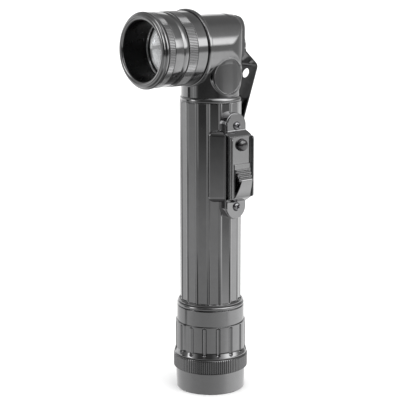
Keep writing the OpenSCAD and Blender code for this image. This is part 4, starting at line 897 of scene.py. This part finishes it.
def clip_arm():
    """A sheet that leaves its fold, stands off the tube and comes back to it, with a hole for a lanyard."""
    corners = [(13.7, 136.5, 0), (13.7, 135.6, 1.2), (20.3, 129.6, 1.5), (12.85, 108.7, 2.5), (13.8, 105.7, 0)]
    path = eased(corners, parts=8)
    columns = 10
    arm = single_point("clip_arm_sheet", (-CLIP_HALF, *path[0]))
    for _ in range(columns):
        pull(x=2 * CLIP_HALF / columns)
    bpy.ops.mesh.select_all(action="SELECT")
    for (y, z), (next_y, next_z) in zip(path, path[1:]):
        pull(y=next_y - y, z=next_z - z)
    close(60)
    # The sheet's thickness goes towards the tube
    facing = sum((face.normal.y for face in arm.data.polygons), 0)
    thicken(arm, 0.6, -1 if facing > 0 else 1)

    lower_end = 105.7
    trim = box("clip_outline", (-CLIP_HALF, 5, lower_end), (CLIP_HALF, 25, 140))
    pick(trim, lambda a, b: a.z < 106 and b.z < 106 and abs(a.y - b.y) > 1, "EDGE")
    round_off(3.0, 12)
    close()
    with_tool(arm, trim, "INTERSECT")

    eye = (0, 18.73, 126.1)
    hole = drum("lanyard_hole", eye, 1.97, 6, BEAM, 64)
    reopen(hole)
    turn_about_side(19.6, eye)
    close()
    with_tool(arm, hole, "DIFFERENCE")
    soften(arm, 0.12, 3, 40, 40)
    return arm


def clip_tab():
    tab = box("clip_tab_sheet", (-CLIP_HALF, 13.12, 136.65), (CLIP_HALF, 13.7, 141.6))
    pick(tab, lambda a, b: a.z > 141 and b.z > 141 and abs(a.y - b.y) > 0.3, "EDGE")
    round_off(3.2, 12)
    close()
    soften(tab, 0.12, 3, 40)
    return tab


def rivets():
    pair = []
    for side in (-2.6, 2.6):
        outline = [(0.8, 1.4, 0), (0.8, 0, 0), (1.35, -0.02, 0.05)] + arc((0, -0.08), (1.35, -0.47), range(10, 86, 8))
        pair.append(turned("clip_rivet", eased(outline), 48, BEAM, (side, 13.7, 139.05), angle=50))
    return join(pair, "clip_rivet_heads")


# ---------------------------------------------------------------- the pieces in their places

finish_piece(base_cover(), shell_plating, "base", "plated_shell", "base_cover")
finish_piece(tail_cap(), shell_plating, "tail", "plated_shell", "tail_cap")
tube = join([body_tube(), *switch_housing()], "body_tube_shell")
finish_piece(tube, shell_plating, "body", "plated_shell", "body_tube")
finish_piece(guard(), sheet_plating, "body", "plated_sheet", "switch_guard")
finish_piece(screw_pair(), screw_steel, "body", "bright_steel", "guard_screws")
finish_piece(slide_switch(), switch_plating, "slide", "plated_shell", "slide_switch")
finish_piece(push_button(), button_plating, "button", "plated_shell", "push_button")
finish_piece(elbow(), None, "body", "plated_shell", "elbow")
finish_piece(lens_ring(), shell_plating, "lens_head", "plated_shell", "lens_ring")
finish_piece(filter_ring(), shell_plating, "filter_head", "plated_shell", "filter_ring")
finish_piece(front_ring(), shell_plating, "filter_head", "plated_shell", "front_ring")
finish_piece(hood(), hood_black, "filter_head", "matte_hood", "hood")
finish_piece(reflector(), mirror_bowl_painted_glow, "body", "reflector", "reflector")
finish_piece(bulb_glass(), bulb_clear, "body", "bulb_glass", "bulb_glass")
finish_piece(lens(), lens_clear, "body", "lens", "lens")
finish_piece(clip_arm(), clip_plating_painted_shade, "clip", "plated_sheet", "clip_arm")
finish_piece(clip_tab(), sheet_plating, "body", "plated_sheet", "clip_tab")
finish_piece(rivets(), screw_steel, "body", "bright_steel", "clip_rivets")

# Pieces that keep their CAD shape
KEPT = {
    "base_gasket": seal_rubber, "tail_gasket": seal_rubber, "lens_gasket": seal_rubber, "rear_seal": seal_rubber,
    "middle_seal": seal_rubber, "front_seal": seal_rubber, "spare_filter_red": filter_red,
    "spare_filter_green": filter_green, "spare_diffuser": filter_milk, "tail_spring": spring_steel,
    "tail_contact": contact_brass, "battery_lower": cell_sleeve, "battery_upper": cell_sleeve,
    "contact_strip": contact_brass, "lamp_strip": contact_brass, "switch_leaf": contact_brass,
    "switch_block": black_plastic, "button_spring": spring_steel, "bulb_contact": contact_brass,
    "bulb_holder": black_plastic, "bulb_base": contact_brass, "bulb_filament": spring_steel,
}
for node, finish in KEPT.items():
    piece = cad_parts[node]
    piece.data.materials.clear()
    piece.data.materials.append(finish)


# ---------------------------------------------------------------- studio

def ramp(nodes, links, source, stops):
    """Grey levels along a value from 0 to 1."""
    band = nodes.new("ShaderNodeValToRGB")
    links.new(source, band.inputs["Fac"])
    elements = band.color_ramp.elements
    while len(elements) > 1:
        elements.remove(elements[-1])
    for index, (at, tone) in enumerate(stops):
        stop = elements[0] if index == 0 else elements.new(at)
        stop.position = at
        stop.color = (tone, tone, tone, 1)
    return band.outputs["Color"]


def calculate(nodes, links, operation, *values):
    """A sum on numbers and on what other nodes give."""
    sum_node = nodes.new("ShaderNodeMath")
    sum_node.operation = operation
    for socket, value in zip(sum_node.inputs, values):
        if isinstance(value, (int, float)):
            socket.default_value = value
        else:
            links.new(value, socket)
    return sum_node.outputs["Value"]


def studio():
    """A pale table below, a dim room at eye level and a soft light above, as the plating mirrors them."""
    world = bpy.data.worlds.new("studio")
    bpy.context.scene.world = world
    world.use_nodes = True
    nodes, links = world.node_tree.nodes, world.node_tree.links
    background = nodes["Background"]
    place = nodes.new("ShaderNodeTexCoord")
    split = nodes.new("ShaderNodeSeparateXYZ")
    links.new(place.outputs["Generated"], split.inputs["Vector"])
    toward = calculate(nodes, links, "MULTIPLY", split.outputs["Y"], -1.0)
    azimuth = calculate(nodes, links, "ARCTAN2", split.outputs["X"], toward)
    around = calculate(nodes, links, "MULTIPLY_ADD", azimuth, 1 / (2 * math.pi), 0.5)
    lift = calculate(nodes, links, "ARCSINE", split.outputs["Z"])
    degrees = calculate(nodes, links, "MULTIPLY", lift, 180 / math.pi)

    def level(*stops):
        """Brightness round the compass, from the far side over the left, the front and the right."""
        return ramp(nodes, links, around, [(angle / 360 + 0.5, tone) for angle, tone in stops])

    # The table below
    table = level((-180, 1.15), (-109, 1.0), (-69, 0.78), (-34, 0.62), (-12, 0.5), (20, 0.43), (48, 0.45), (75, 0.52),
                  (95, 0.65), (108, 0.85), (125, 1.0), (144, 1.08), (170, 1.2), (180, 1.15))
    # How high the table reaches: 1 is eye level and 0 is 20 degrees below it
    table_end = level((-180, 0.7), (-60, 0.75), (-53, 0.7), (-50, 0.2), (-39, 0.2), (-36, 0.5), (18, 0.475),
                      (63, 0.525), (90, 0.4), (108, 0.26), (113, 0.32), (120, 0.58), (138, 0.6), (144, 0.5),
                      (153, 0.6), (180, 0.7))
    # The dim room, then the lamps over it, the upper part of the lamps, the ceiling and what is straight above
    room = level((-180, 0.3), (-131, 0.6), (-95, 2.0), (-84, 1.5), (-75, 1.25), (-60, 1.0), (-53, 1.0), (-50, 0.05),
                 (-40, 0.04), (-36, 0.3), (-32, 0.55), (-27, 0.3), (-22, 0.75), (-17, 0.36), (-12, 0.55), (-8, 0.3),
                 (-3, 0.12), (2, 0.055), (80, 0.05), (92, 0.14), (110, 0.22), (130, 0.32), (150, 0.36), (170, 0.3),
                 (180, 0.3))
    lamps = level((-180, 0.4), (-150, 0.8), (-135, 1.1), (-118, 1.0), (-100, 0.7), (-60, 0.5), (-36, 0.26), (-29, 0.4),
                  (-25, 3.0), (-14, 3.0), (-9, 0.7), (0, 0.3), (10, 0.08), (52, 0.09), (62, 0.2), (75, 0.35),
                  (90, 1.0), (104, 2.3), (134, 2.3), (139, 1.8), (150, 0.8), (162, 0.5), (180, 0.3))
    lamps_top = level((-180, 0.25), (-141, 0.25), (-60, 0.3), (-30, 0.4), (-24, 1.6), (-14, 1.6), (-5, 0.5), (8, 0.1),
                      (52, 0.15), (60, 1.0), (75, 1.8), (95, 2.8), (118, 2.6), (129, 1.2), (138, 0.5), (150, 0.38),
                      (180, 0.25))
    ceiling = level((-180, 0.25), (-131, 0.2), (-60, 0.25), (30, 0.25), (60, 0.8), (95, 1.4), (118, 1.3), (135, 0.5),
                    (160, 0.36), (180, 0.25))
    zenith = level((-180, 0.4), (180, 0.4))

    def fade(value, low, high):
        part = nodes.new("ShaderNodeMapRange")
        part.interpolation_type = "SMOOTHSTEP"
        part.inputs["From Min"].default_value = low
        part.inputs["From Max"].default_value = high
        links.new(value, part.inputs["Value"])
        return part.outputs["Result"]

    def mixed(factor, first, second):
        mix = nodes.new("ShaderNodeMix")
        mix.data_type = "RGBA"
        links.new(factor, mix.inputs["Factor"])
        links.new(first, mix.inputs["A"])
        links.new(second, mix.inputs["B"])
        return mix.outputs["Result"]

    end = calculate(nodes, links, "MULTIPLY_ADD", table_end, 20.0, -20.0)
    above_end = calculate(nodes, links, "SUBTRACT", degrees, end)
    # Straight below, the piece shades the table
    shade = level((-180, 0.16), (180, 0.16))
    light = mixed(fade(degrees, -54, -40), shade, table)
    light = mixed(fade(above_end, -3.2, 3.2), light, room)
    light = mixed(fade(degrees, 3.5, 9.0), light, lamps)
    light = mixed(fade(degrees, 20, 28), light, lamps_top)
    light = mixed(fade(degrees, 38, 50), light, ceiling)
    light = mixed(fade(degrees, 62, 82), light, zenith)
    # The photograph's backdrop is plain white
    backdrop = nodes.new("ShaderNodeLightPath")
    white = nodes.new("ShaderNodeRGB")
    white.outputs["Color"].default_value = (1, 1, 1, 1)
    links.new(mixed(backdrop.outputs["Is Camera Ray"], light, white.outputs["Color"]), background.inputs["Color"])
    background.inputs["Strength"].default_value = 1.0


studio()

# The lamp and the floor light the piece but don't show in the plating, which mirrors the studio alone
sun = bpy.data.lights.new("overhead_softbox", "SUN")
sun.energy = 3.2
sun.angle = math.radians(120)
lamp = bpy.data.objects.new("overhead_softbox", sun)
bpy.context.scene.collection.objects.link(lamp)
lamp.rotation_euler = (math.radians(4), math.radians(-3), 0)
lamp.visible_glossy = False

clear()
bpy.ops.mesh.primitive_plane_add(size=30, location=(0, 0, 0))
floor = bpy.context.active_object
floor.name = "floor"
floor_white, floor_nodes, _ = material("floor_white")
floor_shader = floor_nodes["Principled BSDF"]
floor_shader.inputs["Base Color"].default_value = (0.9, 0.9, 0.9, 1)
floor_shader.inputs["Roughness"].default_value = 0.9
floor.data.materials.append(floor_white)
floor.visible_glossy = False

# Camera of the photograph: 49 degrees round from the beam, a little above the head
AZIMUTH = math.radians(49.03)
DISTANCE = 0.5
EYE = 0.17814
PITCH = math.radians(11.46)
FOCAL = 1282.67 / 400
AXIS_SHIFT = -10.43 / 400
SENSOR = 36

view = bpy.data.cameras.new("photo_camera")
view.sensor_width = SENSOR
view.lens = FOCAL * SENSOR
view.shift_x = AXIS_SHIFT
view.clip_start = 0.01
camera = bpy.data.objects.new("photo_camera", view)
bpy.context.scene.collection.objects.link(camera)
camera.location = (math.sin(AZIMUTH) * DISTANCE, -math.cos(AZIMUTH) * DISTANCE, EYE)
camera.rotation_euler = (math.pi / 2 - PITCH, 0, AZIMUTH)
bpy.context.scene.camera = camera
bpy.context.scene.view_settings.view_transform = "Standard"
